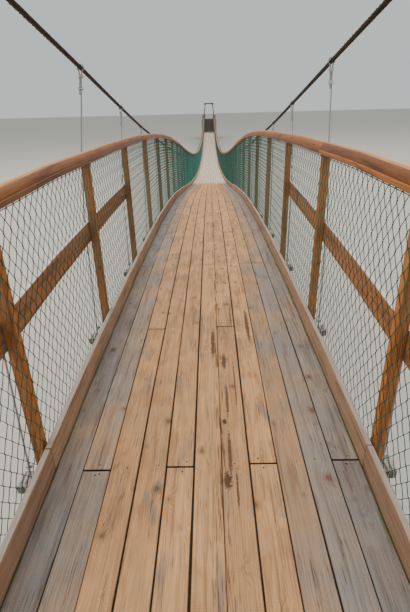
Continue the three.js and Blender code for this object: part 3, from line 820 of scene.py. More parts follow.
# %% Helper for Geometry Nodes
def new_tree(name, **inputs):
    tree = bpy.data.node_groups.new(name, "GeometryNodeTree")
    for label, kind in {"Geometry": "Geometry", **inputs, "Finish": "Material"}.items():
        tree.interface.new_socket(label, in_out="INPUT", socket_type="NodeSocket" + kind)
    tree.interface.new_socket("Geometry", in_out="OUTPUT", socket_type="NodeSocketGeometry")
    node = partial(add, tree)
    return tree, node, node("NodeGroupInput").outputs


def set_down(node, given, shape):
    turn, stretch = [node("GeometryNodeInputNamedAttribute", Name=label, data_type="FLOAT_VECTOR")
                     for label in ("turn", "stretch")]
    copies = node("GeometryNodeInstanceOnPoints", Points=given["Geometry"], Instance=shape,
                  Rotation=node("FunctionNodeEulerToRotation", turn), Scale=stretch)
    real = node("GeometryNodeRealizeInstances", copies)
    node("NodeGroupOutput", node("GeometryNodeSetMaterial", Geometry=real, Material=given["Finish"]))


def joined(node, shapes, size):
    together = node("GeometryNodeJoinGeometry")
    for shape in reversed(shapes):
        fill(together, shape)
    return node("GeometryNodeTransform", Geometry=together, Scale=size)


def grow(name, points, tree, values, turns=None, stretches=None, replaced=()):
    cloud = bpy.data.meshes.new(name)
    cloud.from_pydata((np.asarray(points) * M).tolist(), [], [])
    shape = (len(cloud.vertices), 3)
    turns = np.zeros(shape) if turns is None else turns
    stretches = np.ones(shape) if stretches is None else stretches
    for label, data in (("turn", turns), ("stretch", stretches)):
        layer = cloud.attributes.new(label, "FLOAT_VECTOR", "POINT")
        layer.data.foreach_set("vector", np.asarray(data, np.float32).ravel())
    carrier = placed(name + "_points", cloud)
    modifier = carrier.modifiers.new(name, "NODES")
    modifier.node_group = tree
    for item in tree.interface.items_tree:
        if item.in_out == "INPUT" and item.name in values:
            modifier[item.identifier] = values[item.name]
    evaluated = carrier.evaluated_get(bpy.context.evaluated_depsgraph_get())
    mesh = bpy.data.meshes.new_from_object(evaluated)
    mesh.name = name
    carrier.modifiers.remove(modifier)
    bpy.data.objects.remove(carrier)
    return finished(name, mesh, values["Finish"], replaced)


print("every copy reads its turn and stretch from its point")

# %% [markdown]
# ## Netting: steel wire in a green plastic coat
# The fence between kerb and handrail is chain-link. Each wire runs from top to bottom as a zigzag,
# and its bends hook into the bends of the next wire, so that the eye sees diamonds 89 mm high and
# 64 mm wide, twice the swing of one wire. One tree makes a single zigzag from a line of points, by
# pushing every second point to the other side. Every second wire is turned by half a turn, which
# mirrors it. The diamonds stand square to the deck, so each wire leans back by the deck's slope.
# The coat is soft vinyl with a dull gloss, roughness 0.42, and the sun has made it paler in places.

# %% Coated wire
coated_wire = mottled_material("plastic_coated_wire", 0.9, 3.0, [(0.3, "#195347"), (0.7, "#26766a")], 0.42)

DIAMOND_WIDE = 0.064
DIAMOND_HIGH = 0.089
WIRE_RADIUS = 0.0019
HOOK = 0.0022
NET_MIDDLE = 0.734
NET_FOOT = -0.04
NET_HEAD = 1.148
HALF_DIAMONDS = round((NET_HEAD - NET_FOOT) / (DIAMOND_HIGH / 2))
HOOKED_FROM = 1080 * DIAMOND_WIDE / 2
SLOPE_REACH = 0.3


def net_rows(side_name, y):
    foot = deck_level(y) + NET_FOOT
    return foot, foot + NET_HEAD - NET_FOOT + rail_climb(side_name, y)


def columns(*values):
    return np.stack(np.broadcast_arrays(*values), axis=-1)


def chain_link_tree():
    tree, node, given = new_tree("chain_link_wire", Wide="Float", Rise="Float", Radius="Float", Depth="Float",
                                 Count="Int")
    line = node("GeometryNodeMeshLine", Count=given["Count"], Offset=node("CombineXYZ", Z=given["Rise"]),
                mode="OFFSET")
    odd = node("Math MODULO", node("GeometryNodeInputIndex"), 2.0)
    to_side = node("Math MULTIPLY", node("Math ADD", odd, -0.5), given["Wide"])
    offset = node("CombineXYZ", given["Depth"], to_side)
    zigzag = node("GeometryNodeSetPosition", Geometry=line, Offset=offset)
    section = node("GeometryNodeCurvePrimitiveCircle", Resolution=3, Radius=given["Radius"])
    wire = node("GeometryNodeCurveToMesh", Curve=node("GeometryNodeMeshToCurve", zigzag),
                Profile_Curve=section, Fill_Caps=True)
    set_down(node, given, wire)
    return tree


chain_link = chain_link_tree()
near_places = np.arange(-HALF_DECK + DIAMOND_WIDE / 2, -HOOKED_FROM, DIAMOND_WIDE / 2)
zigzag = {"Wide": (DIAMOND_WIDE / 2 + HOOK) * M, "Rise": DIAMOND_HIGH / 2 * M, "Radius": WIRE_RADIUS * M,
          "Depth": 0.8 * WIRE_RADIUS * M, "Count": HALF_DIAMONDS + 1, "Finish": coated_wire}

for side_name, side in SIDES.items():
    for part, y in {"near": near_places, "far": -near_places[::-1]}.items():
        odd = np.arange(len(y)) % 2
        slope = (deck_level(y + SLOPE_REACH) - deck_level(y - SLOPE_REACH)) / (2 * SLOPE_REACH)
        lean = np.arctan(slope) * np.where(odd, -1, 1)
        foot, head = net_rows(side_name, y)
        stretch = (head - foot) / (HALF_DIAMONDS * DIAMOND_HIGH / 2)
        net = grow(f"netting_{side_name}_{part}", columns(side * NET_MIDDLE, y, foot), chain_link, zigzag,
                   columns(lean, 0, np.pi * odd), columns(1, 1, stretch),
                   (f"net_{side_name}",))
        print(net.name, len(y), "wires, triangles", triangles(net))

# %% [markdown]
# Further out the hooks are too small to see. There two families of straight wires cross instead, at
# the same spacing and slant, one just in front of the other.

# %% Netting of the span
def rod_tree():
    tree, node, given = new_tree("straight_wire", Radius="Float")
    set_down(node, given, node("GeometryNodeMeshCylinder", Vertices=3, Radius=given["Radius"], Depth=1.0,
                               fill_type="NONE"))
    return tree


straight_wire = rod_tree()


def crossing_wires(side_name, side, lean_way):
    travel = DIAMOND_WIDE / 2 * HALF_DIAMONDS
    starts = np.arange(-HOOKED_FROM - travel, HOOKED_FROM + travel, DIAMOND_WIDE)
    limits = [np.clip((reach - starts) * lean_way / travel, 0, 1) for reach in (-HOOKED_FROM, HOOKED_FROM)]
    low, high = np.minimum(*limits), np.maximum(*limits)
    kept = high - low > 0.02
    ends = []
    for part in (low[kept], high[kept]):
        y = starts[kept] + lean_way * travel * part
        foot, head = net_rows(side_name, y)
        ends.append(columns(side * NET_MIDDLE + 0.7 * WIRE_RADIUS * lean_way, y, foot + (head - foot) * part))
    return ends


for side_name, side in SIDES.items():
    pairs = [crossing_wires(side_name, side, way) for way in (-1, 1)]
    lower, upper = [np.concatenate(ends) for ends in zip(*pairs)]
    run = upper - lower
    turns = columns(-np.arctan2(run[:, 1], run[:, 2]), 0, 0)
    net = grow(f"netting_{side_name}_span", (lower + upper) / 2, straight_wire,
               {"Radius": WIRE_RADIUS * M, "Finish": coated_wire}, turns,
               columns(1, 1, np.linalg.norm(run, axis=1) * M), (f"net_{side_name}",))
    print(net.name, len(run), "wires, triangles", triangles(net))

# %% [markdown]
# ## Tubes along a path
# Ropes, hangers and straining wires are tubes. A tube's mesh is rings of points around a path, and
# its rings carry an attribute: `strand` holds the length along the rope and the direction around
# it, so that a material can draw the lay of the strands without a seam. The first tubes are thin
# straining wires along the top and bottom edges of the netting.

# %% Tube builder
def unit(vectors):
    return vectors / np.linalg.norm(vectors, axis=-1, keepdims=True)


def path_lengths(path):
    return np.concatenate([[0], np.cumsum(np.linalg.norm(np.diff(path, axis=0), axis=1))])


def tube(work, path, outline_at):
    along = unit(np.gradient(path, axis=0))
    guide = np.where(np.abs(along[:, 2:]) > 0.9, (0.0, 1.0, 0.0), (0.0, 0.0, 1.0))
    across = unit(np.cross(guide, along))
    up = np.cross(along, across)
    lengths = path_lengths(path)
    outline = np.array([outline_at(s) for s in lengths])
    rings = path[:, None] + outline[..., :1] * across[:, None] + outline[..., 1:] * up[:, None]
    around = unit(outline)
    work.skin(rings, strand=columns(lengths[:, None], around[..., 0], around[..., 1]))


def ring_of(radius, sides):
    angles = 2 * np.pi * (np.arange(sides) + 0.5) / sides
    return radius * columns(np.cos(angles), np.sin(angles))


STRAINING_RADIUS = 0.002

for side_name, side in SIDES.items():
    work = Skins()
    stations = bends[1:-1]
    for height, climbs in ((NET_FOOT + 2 * STRAINING_RADIUS, 0), (NET_HEAD - 3 * STRAINING_RADIUS, 1)):
        levels = deck_level(stations) + height + climbs * rail_climb(side_name, stations)
        tube(work, columns(side * NET_MIDDLE, stations, levels), lambda s: ring_of(STRAINING_RADIUS, 5))
    work.piece(f"straining_wires_{side_name}", coated_wire, "coated_net", (f"net_{side_name}",), 60)
print("straining wires stand")

# %% [markdown]
# ## Main cables: six strands laid round a core
# A wire rope looks like a rope because its strands show as round ridges that run round it slantwise.
# The section has six lobes, and each ring of it is turned a little further than the last, by the
# lay of the rope. The wires of a strand are too fine for a mesh, so the material draws 18 round the
# rope, coarser than they are, with painted shade in the grooves between them, to let them show. The
# steel is dark with old grease and rust, which makes it half metal and dull. The path is the one in
# the CAD model: a parabola in the span, an arc over each saddle and a straight backstay down to its
# socket.

# %% Main cables
CABLE_RADIUS = 0.014
CABLE_LOW = 1.167
CABLE_CURVE = 0.0021
TOWER = 43.8
SADDLE_SPREAD = 0.65
CABLE_PLAN = {
    "left": [(0, 0.86), (30, 0.845), (35.65, 0.81), (37.0, 0.777), (38.35, 0.743), (40.0, 0.724),
             (TOWER, SADDLE_SPREAD)],
    "right": [(0, 0.86), (30, 0.845), (35.65, 0.815), (37.0, 0.793), (38.35, 0.773), (40.0, 0.757),
              (TOWER, SADDLE_SPREAD)],
}
SADDLE_RADIUS = 0.5
BACKSTAY_FALL = math.radians(22)
ANCHOR_SPREAD = 1.05
ANCHOR_FRONT = 49.9
ANCHOR_PLATE = 0.05
SOCKET_LENGTH = 0.35
LAY = 0.27
RINGS_IN_LAY = 8
STRANDS = 6
WIRES_AROUND = 18.0

span_slope = math.atan(2 * CABLE_CURVE * TOWER)


def cable_height(y):
    return MID_DECK + CABLE_LOW + CABLE_CURVE * y ** 2


def cable_spread(side_name, y):
    return np.interp(np.abs(y), *np.array(CABLE_PLAN[side_name]).T)


bend_start = TOWER - SADDLE_RADIUS * math.sin(span_slope)
bend_middle = cable_height(bend_start) - SADDLE_RADIUS * math.cos(span_slope)
bend_end = TOWER + SADDLE_RADIUS * math.sin(BACKSTAY_FALL)
bend_end_height = bend_middle + SADDLE_RADIUS * math.cos(BACKSTAY_FALL)
anchor_height = bend_end_height - math.tan(BACKSTAY_FALL) * (ANCHOR_FRONT - bend_end)


def cable_path(side_name, side):
    span_y = np.linspace(0, bend_start, 120)
    span = columns(cable_spread(side_name, span_y), span_y, cable_height(span_y))
    angles = np.linspace(-span_slope, BACKSTAY_FALL, 14)[1:]
    arc = columns(SADDLE_SPREAD, TOWER + SADDLE_RADIUS * np.sin(angles),
                  bend_middle + SADDLE_RADIUS * np.cos(angles))
    anchor = np.array([ANCHOR_SPREAD, ANCHOR_FRONT - ANCHOR_PLATE, anchor_height])
    last = anchor - unit(anchor - arc[-1]) * (SOCKET_LENGTH - 0.02)
    half = np.concatenate([span, arc, [last]])
    whole = np.concatenate([half[:0:-1] * (1, -1, 1), half])
    lengths = path_lengths(whole)
    steps = np.arange(0, lengths[-1], LAY / RINGS_IN_LAY)
    return columns(*[np.interp(steps, lengths, axis) for axis in whole.T]) * (side, 1, 1)


def strand_outline(s):
    corners = np.arange(2 * STRANDS)
    angles = 2 * np.pi * corners / (2 * STRANDS) + 2 * np.pi * s / LAY
    reach = np.where(corners % 2 == 0, CABLE_RADIUS, 0.86 * CABLE_RADIUS)
    return columns(reach * np.cos(angles), reach * np.sin(angles))


def rope_material(name, light, dark, rust, rust_from, metallic, lay_metres):
    material, node, shader = new_material(name)
    strand = node("Attribute", attribute_name="strand").outputs["Vector"]
    length, one_way, other_way = node("SeparateXYZ", strand).outputs
    angle = node("Math ARCTAN2", other_way, one_way)
    turned = node("Math MULTIPLY", length, 2 * math.pi / lay_metres)
    wires = node("Math MULTIPLY", node("Math SUBTRACT", angle, turned), WIRES_AROUND)
    wire_wave = node("Math SINE", wires)
    # painted shade: the grooves between the drawn wires are darkened
    painted_groove_shade = node("MapRange", wire_wave, -1.0, 0.4, 0.45, 1.0, **LINEAR)
    patches = node("TexNoise", node("TexCoord").outputs["Object"], Scale=6.0 / M, Detail=5.0)
    rusty = node("MapRange", patches, rust_from, rust_from + 0.2)
    steel = node("Mix", patches, dark, light)
    steel = node("Mix", rusty, steel, rust)
    fill(shader, Base_Color=node("Mix", 1.0, steel, painted_groove_shade, **TINT), Metallic=metallic, Roughness=0.55,
         Normal=node("Bump", Height=wire_wave, Strength=0.5, Distance=0.001 * M))
    return material


greased_rope = rope_material("greased_wire_rope", "#3d3833", "#25211e", "#4a3122", 0.5, 0.5, LAY)
galvanised_rope = rope_material("galvanised_wire_rope", "#d9dcde", "#b3b7ba", "#7d6a58", 0.7, 0.15, 0.08)

for side_name, side in SIDES.items():
    work = Skins()
    tube(work, cable_path(side_name, side), strand_outline)
    rope = work.piece(f"main_rope_{side_name}", greased_rope, "wire_rope", (f"main_cable_{side_name}",), 80)
    print(rope.name, "triangles", triangles(rope))

# %% [markdown]
# ## Hangers
# A hanger is a thinner, galvanised rope. It goes over the main cable in a loop, its tail comes back
# along it under two clips, and its foot is slung twice round the end of the crossbeam and clipped
# again. The slings lie close round the beam and slant by a few millimetres, as turns of a rope do.
# A tube along a path makes them all. New zinc is bright and dulls in the weather: a pale grey.

# %% Hangers
HANGER_RADIUS = 0.0045
HANGER_FOOT = 0.815
HANGER_TOP_SETBACK = 0.14
HANGER_AT_RAIL = 0.7925
HANGER_AT_MID_RAIL = 0.8215
HANGER_BEND = 1.2
TAIL_LENGTH = 0.15
CLIP_DROPS = [0.048, 0.115]


def hanger_line(side_name, side, beam, foot_y):
    top_y = beam - math.copysign(HANGER_TOP_SETBACK, beam)
    top = np.array([side * cable_spread(side_name, top_y), top_y, cable_height(top_y)])
    level = deck_level(beam)
    foot = np.array([side * HANGER_FOOT, foot_y, level + BEAM_TOP])
    rails = [(level + HANGER_BEND + rail_climb(side_name, beam), HANGER_AT_RAIL)]
    if abs(beam) > MID_RAIL_FROM - BAY / 2:
        rails.insert(0, (level + mid_rail_top(side_name, beam), HANGER_AT_MID_RAIL))
    line = [foot]
    for height, spread in rails:
        point = foot + (top - foot) * (height - foot[2]) / (top[2] - foot[2])
        if height < top[2] and abs(point[0]) < spread:
            line.append(np.array([side * spread, point[1], height]))
    return np.array(line + [top])


def hanger_loop(line):
    top = line[-1]
    down = unit(line[-2] - top)
    reach = CABLE_RADIUS + 0.9 * HANGER_RADIUS
    cable_run = unit(np.array([0.0, 1.0, 2 * CABLE_CURVE * top[1]]))
    sideways = unit(np.cross(cable_run, down))
    over_cable = [top + reach * (sideways * math.cos(a) - down * math.sin(a))
                  for a in np.radians(np.linspace(-50, 230, 12))]
    neck = top + down * CLIP_DROPS[0] * 0.85
    half_gap = sideways * HANGER_RADIUS
    tail = [top + down * TAIL_LENGTH + 1.3 * half_gap, neck + half_gap]
    return np.array(tail + over_cable + [neck - half_gap] + list(line[-2::-1]))


hanger_lines = {}
for side_name, side in SIDES.items():
    work = Skins()
    lines = [hanger_line(side_name, side, beam, foot_y)
             for beam, foot_y in zip(beams, beam_line(side * HANGER_FOOT))]
    for line in lines:
        tube(work, hanger_loop(line), lambda s: ring_of(HANGER_RADIUS, 5))
    hangers = work.piece(f"hangers_{side_name}", galvanised_rope, "wire_rope",
                         (f"main_cable_{side_name}",), 60)
    hanger_lines[side_name] = lines
    print(hangers.name, len(lines), "hangers, triangles", triangles(hangers))

# %% Slings round the beam ends
SLING_PLACES = [0.012, 0.034]
SLING_RADIUS = 0.85 * HANGER_RADIUS
SLING_CORNER = 0.01
SLING_SLANT = 0.003


def sling_path(x, y, level):
    half = BEAM_WIDTH / 2 + SLING_RADIUS
    top = level + BEAM_TOP + SLING_RADIUS
    bottom = top - BEAM_DEPTH - 2 * SLING_RADIUS
    b, c, d, e = SLING_CORNER - half, half - SLING_CORNER, top - SLING_CORNER, bottom + SLING_CORNER
    ring = [(b, top), (c, top), (half, d), (half, e), (c, bottom), (b, bottom), (-half, e), (-half, d)]
    slant = np.linspace(-SLING_SLANT, SLING_SLANT, len(ring))
    return np.array([(x + s, y + along + BEAM_SKEW * s, height) for s, (along, height) in zip(slant, ring)])


def closed_tube(work, path, radius, sides):
    along = unit(np.roll(path, -1, axis=0) - np.roll(path, 1, axis=0))
    across = unit(np.array([1.0, 0.0, 0.0]) - along * along[:, :1])
    up = np.cross(along, across)
    around = ring_of(1, sides)
    rings = path[:, None] + radius * (around[:, :1] * across[:, None] + around[:, 1:] * up[:, None])
    lengths = 0.05 * np.arange(len(path))[:, None]
    work.skin(rings, closed=True, strand=columns(lengths, around[:, 0], around[:, 1]))


for side_name, side in SIDES.items():
    work = Skins()
    for shift in SLING_PLACES:
        x = side * (HANGER_FOOT + shift)
        for beam, y in zip(beams, beam_line(x)):
            closed_tube(work, sling_path(x, y, float(deck_level(beam))), SLING_RADIUS, 4)
    slings = work.piece(f"beam_slings_{side_name}", galvanised_rope, "wire_rope",
                        (f"main_cable_{side_name}",), 60)
    print(slings.name, "triangles", triangles(slings))

# %% [markdown]
# ## Clips
# A wire rope clip is a small forged saddle with a U-bolt and two nuts. Copies of one clip sit on each
# hanger: two under the cable, one over the beam. Hot zinc leaves spangles and dulls with dust: a
# pale grey, hardly a mirror, so little of it is metallic.

# %% Clips
def zinc_material():
    material, node, shader = new_material("galvanised_forgings")
    place = node("TexCoord").outputs["Object"]
    spangle = node("TexVoronoi", place, Scale=90.0 / M).outputs["Color"]
    dust = node("TexNoise", place, Scale=12.0 / M, Detail=4.0)
    colour = node("Mix", spangle, "#c0c5c7", "#e4e8ea")
    dull = node("MapRange", dust, 0.45, 0.7, 0.0, 0.35, **LINEAR)
    fill(shader, Base_Color=node("Mix", dull, colour, "#6d655c"), Metallic=0.15, Roughness=0.45)
    return material


galvanised_forgings = zinc_material()


def clip_tree():
    tree, node, given = new_tree("rope_clip", Wide="Float")
    body = node("GeometryNodeMeshCube", Size=(1.0, 0.42, 0.55))
    arc = node("GeometryNodeCurveArc", Resolution=6, Radius=0.33, Start_Angle=math.pi, Sweep_Angle=math.pi,
               mode="RADIUS")
    section = node("GeometryNodeCurvePrimitiveCircle", Resolution=4, Radius=0.11)
    shapes = [node("GeometryNodeTransform", Geometry=body, Translation=(0.0, 0.32, 0.0)),
              node("GeometryNodeCurveToMesh", Curve=arc, Profile_Curve=section, Fill_Caps=True)]
    for side in (-1, 1):
        nut = node("GeometryNodeMeshCylinder", Vertices=6, Radius=0.2, Depth=0.3)
        shapes.append(node("GeometryNodeTransform", Geometry=nut, Translation=(0.33 * side, 0.66, 0.0),
                           Rotation=(math.pi / 2, 0.0, 0.0)))
    set_down(node, given, joined(node, shapes, given["Wide"]))
    return tree


clip_shape = clip_tree()
CLIP_WIDE = 0.03
CLIP_RISE = 0.06
for side_name, lines in hanger_lines.items():
    places = []
    for drop in CLIP_DROPS:
        places += [line[-1] + unit(line[-2] - line[-1]) * drop for line in lines]
    places += [line[0] + unit(line[1] - line[0]) * CLIP_RISE for line in lines]
    facing = rng.uniform(-0.5, 0.5, len(places)) + (0 if side_name == "left" else math.pi)
    clips = grow(f"rope_clips_{side_name}", places, clip_shape,
                 {"Wide": CLIP_WIDE * M, "Finish": galvanised_forgings}, columns(0, 0, facing))
    print(clips.name, len(places), "clips, triangles", triangles(clips))

# %% [markdown]
# ## Nails
# One nail holds each board to each beam, and a joint has one on either side of it, some two. Their
# heads are low cones with a flat top, rusty and pressed into the wood. Rust is rough and no longer
# a clean metal, so its roughness is 0.75 and it is metallic only by 0.4.

# %% Nails
rusty_nails = mottled_material("rusty_nail_heads", 30.0, 4.0, [(0.3, "#2e231d"), (0.7, "#5a3c2a")],
                               roughness=0.75, metallic=0.4)


def nail_tree():
    tree, node, given = new_tree("nail_head", Radius="Float")
    head = node("GeometryNodeMeshCone", Vertices=6, Radius_Top=0.7, Radius_Bottom=1.0, Depth=0.6)
    set_down(node, given, node("GeometryNodeTransform", Geometry=head, Scale=given["Radius"]))
    return tree


nail_head = nail_tree()
NAIL_RADIUS = 0.0042
NAIL_SPREAD = 0.034
NAIL_STRAY = 0.006
NAIL_FROM_JOINT = 0.026
SECOND_NAIL_CHANCE = 0.25
AT_JOINT = 0.05
SUNK_AT_JOINT = 0.0006
SUNK = 0.0016


def nail_places():
    places = []
    for row in range(ROWS):
        joints = joints_of_row(row)
        for y in beam_line(row_middle(row)):
            nearest = joints[np.abs(joints - y).argmin()]
            at_joint = abs(nearest - y) < AT_JOINT
            sunk = SUNK_AT_JOINT if at_joint else SUNK
            nail_rows = (nearest - NAIL_FROM_JOINT, nearest + NAIL_FROM_JOINT) if at_joint else (y,)
            for nail_row in nail_rows:
                for _ in range(1 + (at_joint and rng.random() < SECOND_NAIL_CHANCE)):
                    nail_x = row_middle(row) + rng.uniform(-NAIL_SPREAD, NAIL_SPREAD)
                    nail_y = nail_row + rng.uniform(-NAIL_STRAY, NAIL_STRAY)
                    places.append((nail_x, nail_y, float(deck_level(nail_y)) - sunk))
    return places


nails = grow("deck_nails", nail_places(), nail_head, {"Radius": NAIL_RADIUS * M, "Finish": rusty_nails})
print("nails", "triangles", triangles(nails))

# %% [markdown]
# ## Towers of painted steel
# Both towers stand behind the camera or under trees, so they are finished from their purpose. The
# legs, plates and the portal beam are those of the CAD model. What is added is what a workshop adds
# to carry the load: ribs between leg and plates, anchor bolts, stiffeners on the beam and rims that
# keep the rope in its groove on the saddle. The paint is a matt grey-green, with rust where it broke.

# %% Painted steel
def painted_steel_material():
    material, node, shader = new_material("grey_green_paint_on_steel")
    place = node("TexCoord").outputs["Object"]
    fading = node("TexNoise", place, Scale=4.0 / M, Detail=4.0)
    drips = stretched_noise(node, place, (26.0 / M, 26.0 / M, 3.0 / M), Detail=4.0)
    chips = node("TexNoise", place, Scale=42.0 / M, Detail=5.0)
    chipped = node("MapRange", chips, 0.66, 0.69)
    paint = node("Mix", node("MapRange", fading, 0.3, 0.7), "#3d453c", "#525a50")
    paint = node("Mix", node("MapRange", drips, 0.58, 0.72, 0.0, 0.6), paint, "#6d4a33")
    fill(shader, Base_Color=node("Mix", chipped, paint, "#5a2f1c"),
         Normal=node("Bump", Height=node("Math MULTIPLY", chipped, -1.0), Distance=0.0006 * M),
         Roughness=node("MapRange", fading, 0.2, 0.8, 0.45, 0.65))
    return material


painted_steel = painted_steel_material()
STEEL_NODES = ("tower_leg", "saddle", "portal_beam", "cable_anchor")
for name, solid in nodes.items():
    if name.startswith(STEEL_NODES):
        solid.data.materials.clear()
        solid.data.materials.append(painted_steel)

APPROACH = float(deck_level(HALF_DECK))
PLATE_THICK = 0.03
FOOT_TOP = APPROACH + PLATE_THICK
PORTAL_TOP = bend_middle + SADDLE_RADIUS - 0.12
PORTAL_DEPTH = 0.18
PORTAL_FOOT = PORTAL_TOP - PORTAL_DEPTH
PORTAL_HALF_LENGTH = 0.85
LEG_RADIUS = 0.08
LEG_FOOT = 1.0
RIB = 0.012
RIB_FROM = 0.8 * LEG_RADIUS
RIB_REACH = 0.2
FOOT_RIB_RISE = 0.24
HEAD_RIB_RISE = 0.16
GAP = 0.0035
STIFFENER_OUT = 0.035
STIFFENER_SPREAD = 0.45
STIFFENER_SHORT = 0.004
CAP_OVERHANG = 0.008
RIM_RISE = 0.022
RIM_BY_ROPE = 0.0165
RIM_FLARE = 0.0185
RIM_TOP_IN = 0.03
RIM_OUT = 0.068
RIM_STEP = 0.01
leg_lean = (LEG_FOOT - SADDLE_SPREAD) / (PORTAL_FOOT - FOOT_TOP)
corners_of_bridge = [(end, side) for end in (-1, 1) for side in SIDES.values()]


def leg_rib(work, side, end, direction, foot_z, upwards, height):
    """A triangular rib between a leg and one of its plates"""
    outline = [(RIB_FROM, 0), (RIB_REACH, 0), (RIB_FROM, height)]
    along_x, along_y = math.cos(direction), math.sin(direction)

    def place(away, s, up):
        z = foot_z + upwards * up
        centre = LEG_FOOT - leg_lean * (z - FOOT_TOP)
        return side * centre + away * along_x - s * along_y, end * TOWER + away * along_y + s * along_x, z

    work.timber(outline, [-RIB / 2, RIB / 2], place, chamfer=0.001)


ribs = Skins()
for end in (-1, 1):
    for side in SIDES.values():
        for direction in np.radians([45, 135, 225, 315]):
            leg_rib(ribs, side, end, direction, FOOT_TOP + GAP, 1, FOOT_RIB_RISE)
            leg_rib(ribs, side, end, direction, PORTAL_FOOT - PLATE_THICK - GAP, -1,
                    HEAD_RIB_RISE)
    stiffener = rectangle(0, STIFFENER_OUT, PORTAL_FOOT + STIFFENER_SHORT, PORTAL_TOP - STIFFENER_SHORT)
    for x in np.linspace(-STIFFENER_SPREAD, STIFFENER_SPREAD, 4):
        for face in (-1, 1):
            y = end * TOWER + face * PORTAL_DEPTH / 2
            ribs.timber(stiffener, [x - RIB / 2, x + RIB / 2],
                        lambda away, s, up: (s, y + face * away, up), chamfer=0.001)
    half = PORTAL_DEPTH / 2 + CAP_OVERHANG
    end_cap = rectangle(-half, half, PORTAL_FOOT, PORTAL_TOP)
    for cap in (-1, 1):
        ribs.timber(end_cap, [cap * PORTAL_HALF_LENGTH + k * RIB / 2 for k in (-1, 1)],
                    lambda across, s, up: (s, end * TOWER + across, up), chamfer=0.001)
tower_ribs = ribs.piece("tower_ribs", painted_steel, "painted_steel")

rims = Skins()
rim_foot = SADDLE_RADIUS - CABLE_RADIUS - 0.003
rim_top = rim_foot + RIM_RISE
for end, side in corners_of_bridge:
    for edge in (-1, 1):
        rim = [(edge * RIM_BY_ROPE, rim_foot), (edge * RIM_OUT, rim_foot), (edge * RIM_OUT, rim_top),
               (edge * RIM_TOP_IN, rim_top), (edge * RIM_FLARE, rim_foot + RIM_STEP)]
        rims.timber(rim, np.linspace(-span_slope, BACKSTAY_FALL, 12),
                    lambda across, angle, reach: (side * SADDLE_SPREAD + across,
                                                  end * (TOWER + reach * np.sin(angle)),
                                                  bend_middle + reach * np.cos(angle)), chamfer=0.004)
saddle_rims = rims.piece("saddle_rims", painted_steel, "painted_steel", smooth_degrees=30)
print("ribs", triangles(tower_ribs), "rims", triangles(saddle_rims), "triangles")

# %% [markdown]
# ## Bolts
# One bolt end, a washer, a nut and a bit of thread, serves everywhere: anchor bolts in the foot
# plates, head plates under the portal beam, anchor plates on the concrete, and small ones through
# posts, kerbs and mid-rails. Each point turns it to its face and its tree gets the bolt's radius.

# %% Bolts
def bolt_tree():
    tree, node, given = new_tree("bolt_end", Radius="Float")
    shapes = []
    for sides, wide, deep, middle in ((10, 1.0, 0.16, 0.08), (6, 0.8, 0.6, 0.46), (6, 0.42, 0.5, 0.96)):
        part = node("GeometryNodeMeshCylinder", Vertices=sides, Radius=wide, Depth=deep)
        shapes.append(node("GeometryNodeTransform", Geometry=part, Translation=(0.0, 0.0, middle)))
    set_down(node, given, joined(node, shapes, given["Radius"]))
    return tree


bolt_end = bolt_tree()
UP, DOWN = (0, 0, 0), (math.pi, 0, 0)
WASHER_SEAT = 0.003
ANCHOR_FACE = ANCHOR_FRONT - ANCHOR_PLATE - WASHER_SEAT
TOWER_BOLT_SPREAD = 0.13
ANCHOR_BOLT_SPREAD = 0.11
POST_BOLTS_UP = (0.015, 0.085)
LARGE_BOLT = 0.026
SMALL_BOLT = 0.011


def plate_corners(spread):
    return [(a * spread, b * spread) for a in (-1, 1) for b in (-1, 1)]


def bolts(name, radius, slot, places, turns):
    piece = grow(name, places, bolt_end, {"Radius": radius * M, "Finish": galvanised_forgings}, turns)
    print(name, len(places), "triangles", triangles(piece))


tower_bolts, anchor_bolts = [], []
for end, side in corners_of_bridge:
    foot_x, head_x, anchor_x, y = side * LEG_FOOT, side * SADDLE_SPREAD, side * ANCHOR_SPREAD, end * TOWER
    outwards = (end * math.pi / 2, 0, 0)
    tower_bolts += [((foot_x + a, y + b, FOOT_TOP + WASHER_SEAT), UP)
                    for a, b in plate_corners(TOWER_BOLT_SPREAD)]
    tower_bolts += [((head_x + a, y, PORTAL_FOOT - PLATE_THICK - WASHER_SEAT), DOWN)
                    for a in (-TOWER_BOLT_SPREAD, TOWER_BOLT_SPREAD)]
    anchor_bolts += [((anchor_x + a, end * ANCHOR_FACE, anchor_height + b), outwards)
                     for a, b in plate_corners(ANCHOR_BOLT_SPREAD)]
bolts("tower_and_anchor_bolts", LARGE_BOLT, "painted_steel", *zip(*tower_bolts, *anchor_bolts))

for side_name, side in SIDES.items():
    places = []
    for y in beams:
        post_y = y - math.copysign(POST_SETBACK, y)
        level = float(deck_level(post_y))
        places += [(side * POST_OUT, post_y, level + height) for height in POST_BOLTS_UP]
        if abs(y) > MID_RAIL_FROM - BAY / 2:
            height = level + float(mid_rail_top(side_name, y)) - MID_RAIL_DEPTH / 2
            places.append((side * (POST_OUT + MID_RAIL_THICK), post_y, height))
    turns = [(0, side * math.pi / 2, 0)] * len(places)
    bolts(f"post_bolts_{side_name}", SMALL_BOLT, "stained_timber", places, turns)

# %% [markdown]
# ## Sockets
# At its end the rope is opened and cast into a tapered socket. Collars at both ends of the taper are
# thicker than the cone between them.

# %% Socket collars
COLLARS = ((0.008, 0.05, 0.063), (SOCKET_LENGTH - 0.045, SOCKET_LENGTH - 0.002, 0.038))
COLLAR_STEPS = np.array([0, 0.15, 0.85, 1.0])
COLLAR_SWELL = np.array([0.9, 1, 1, 0.9])

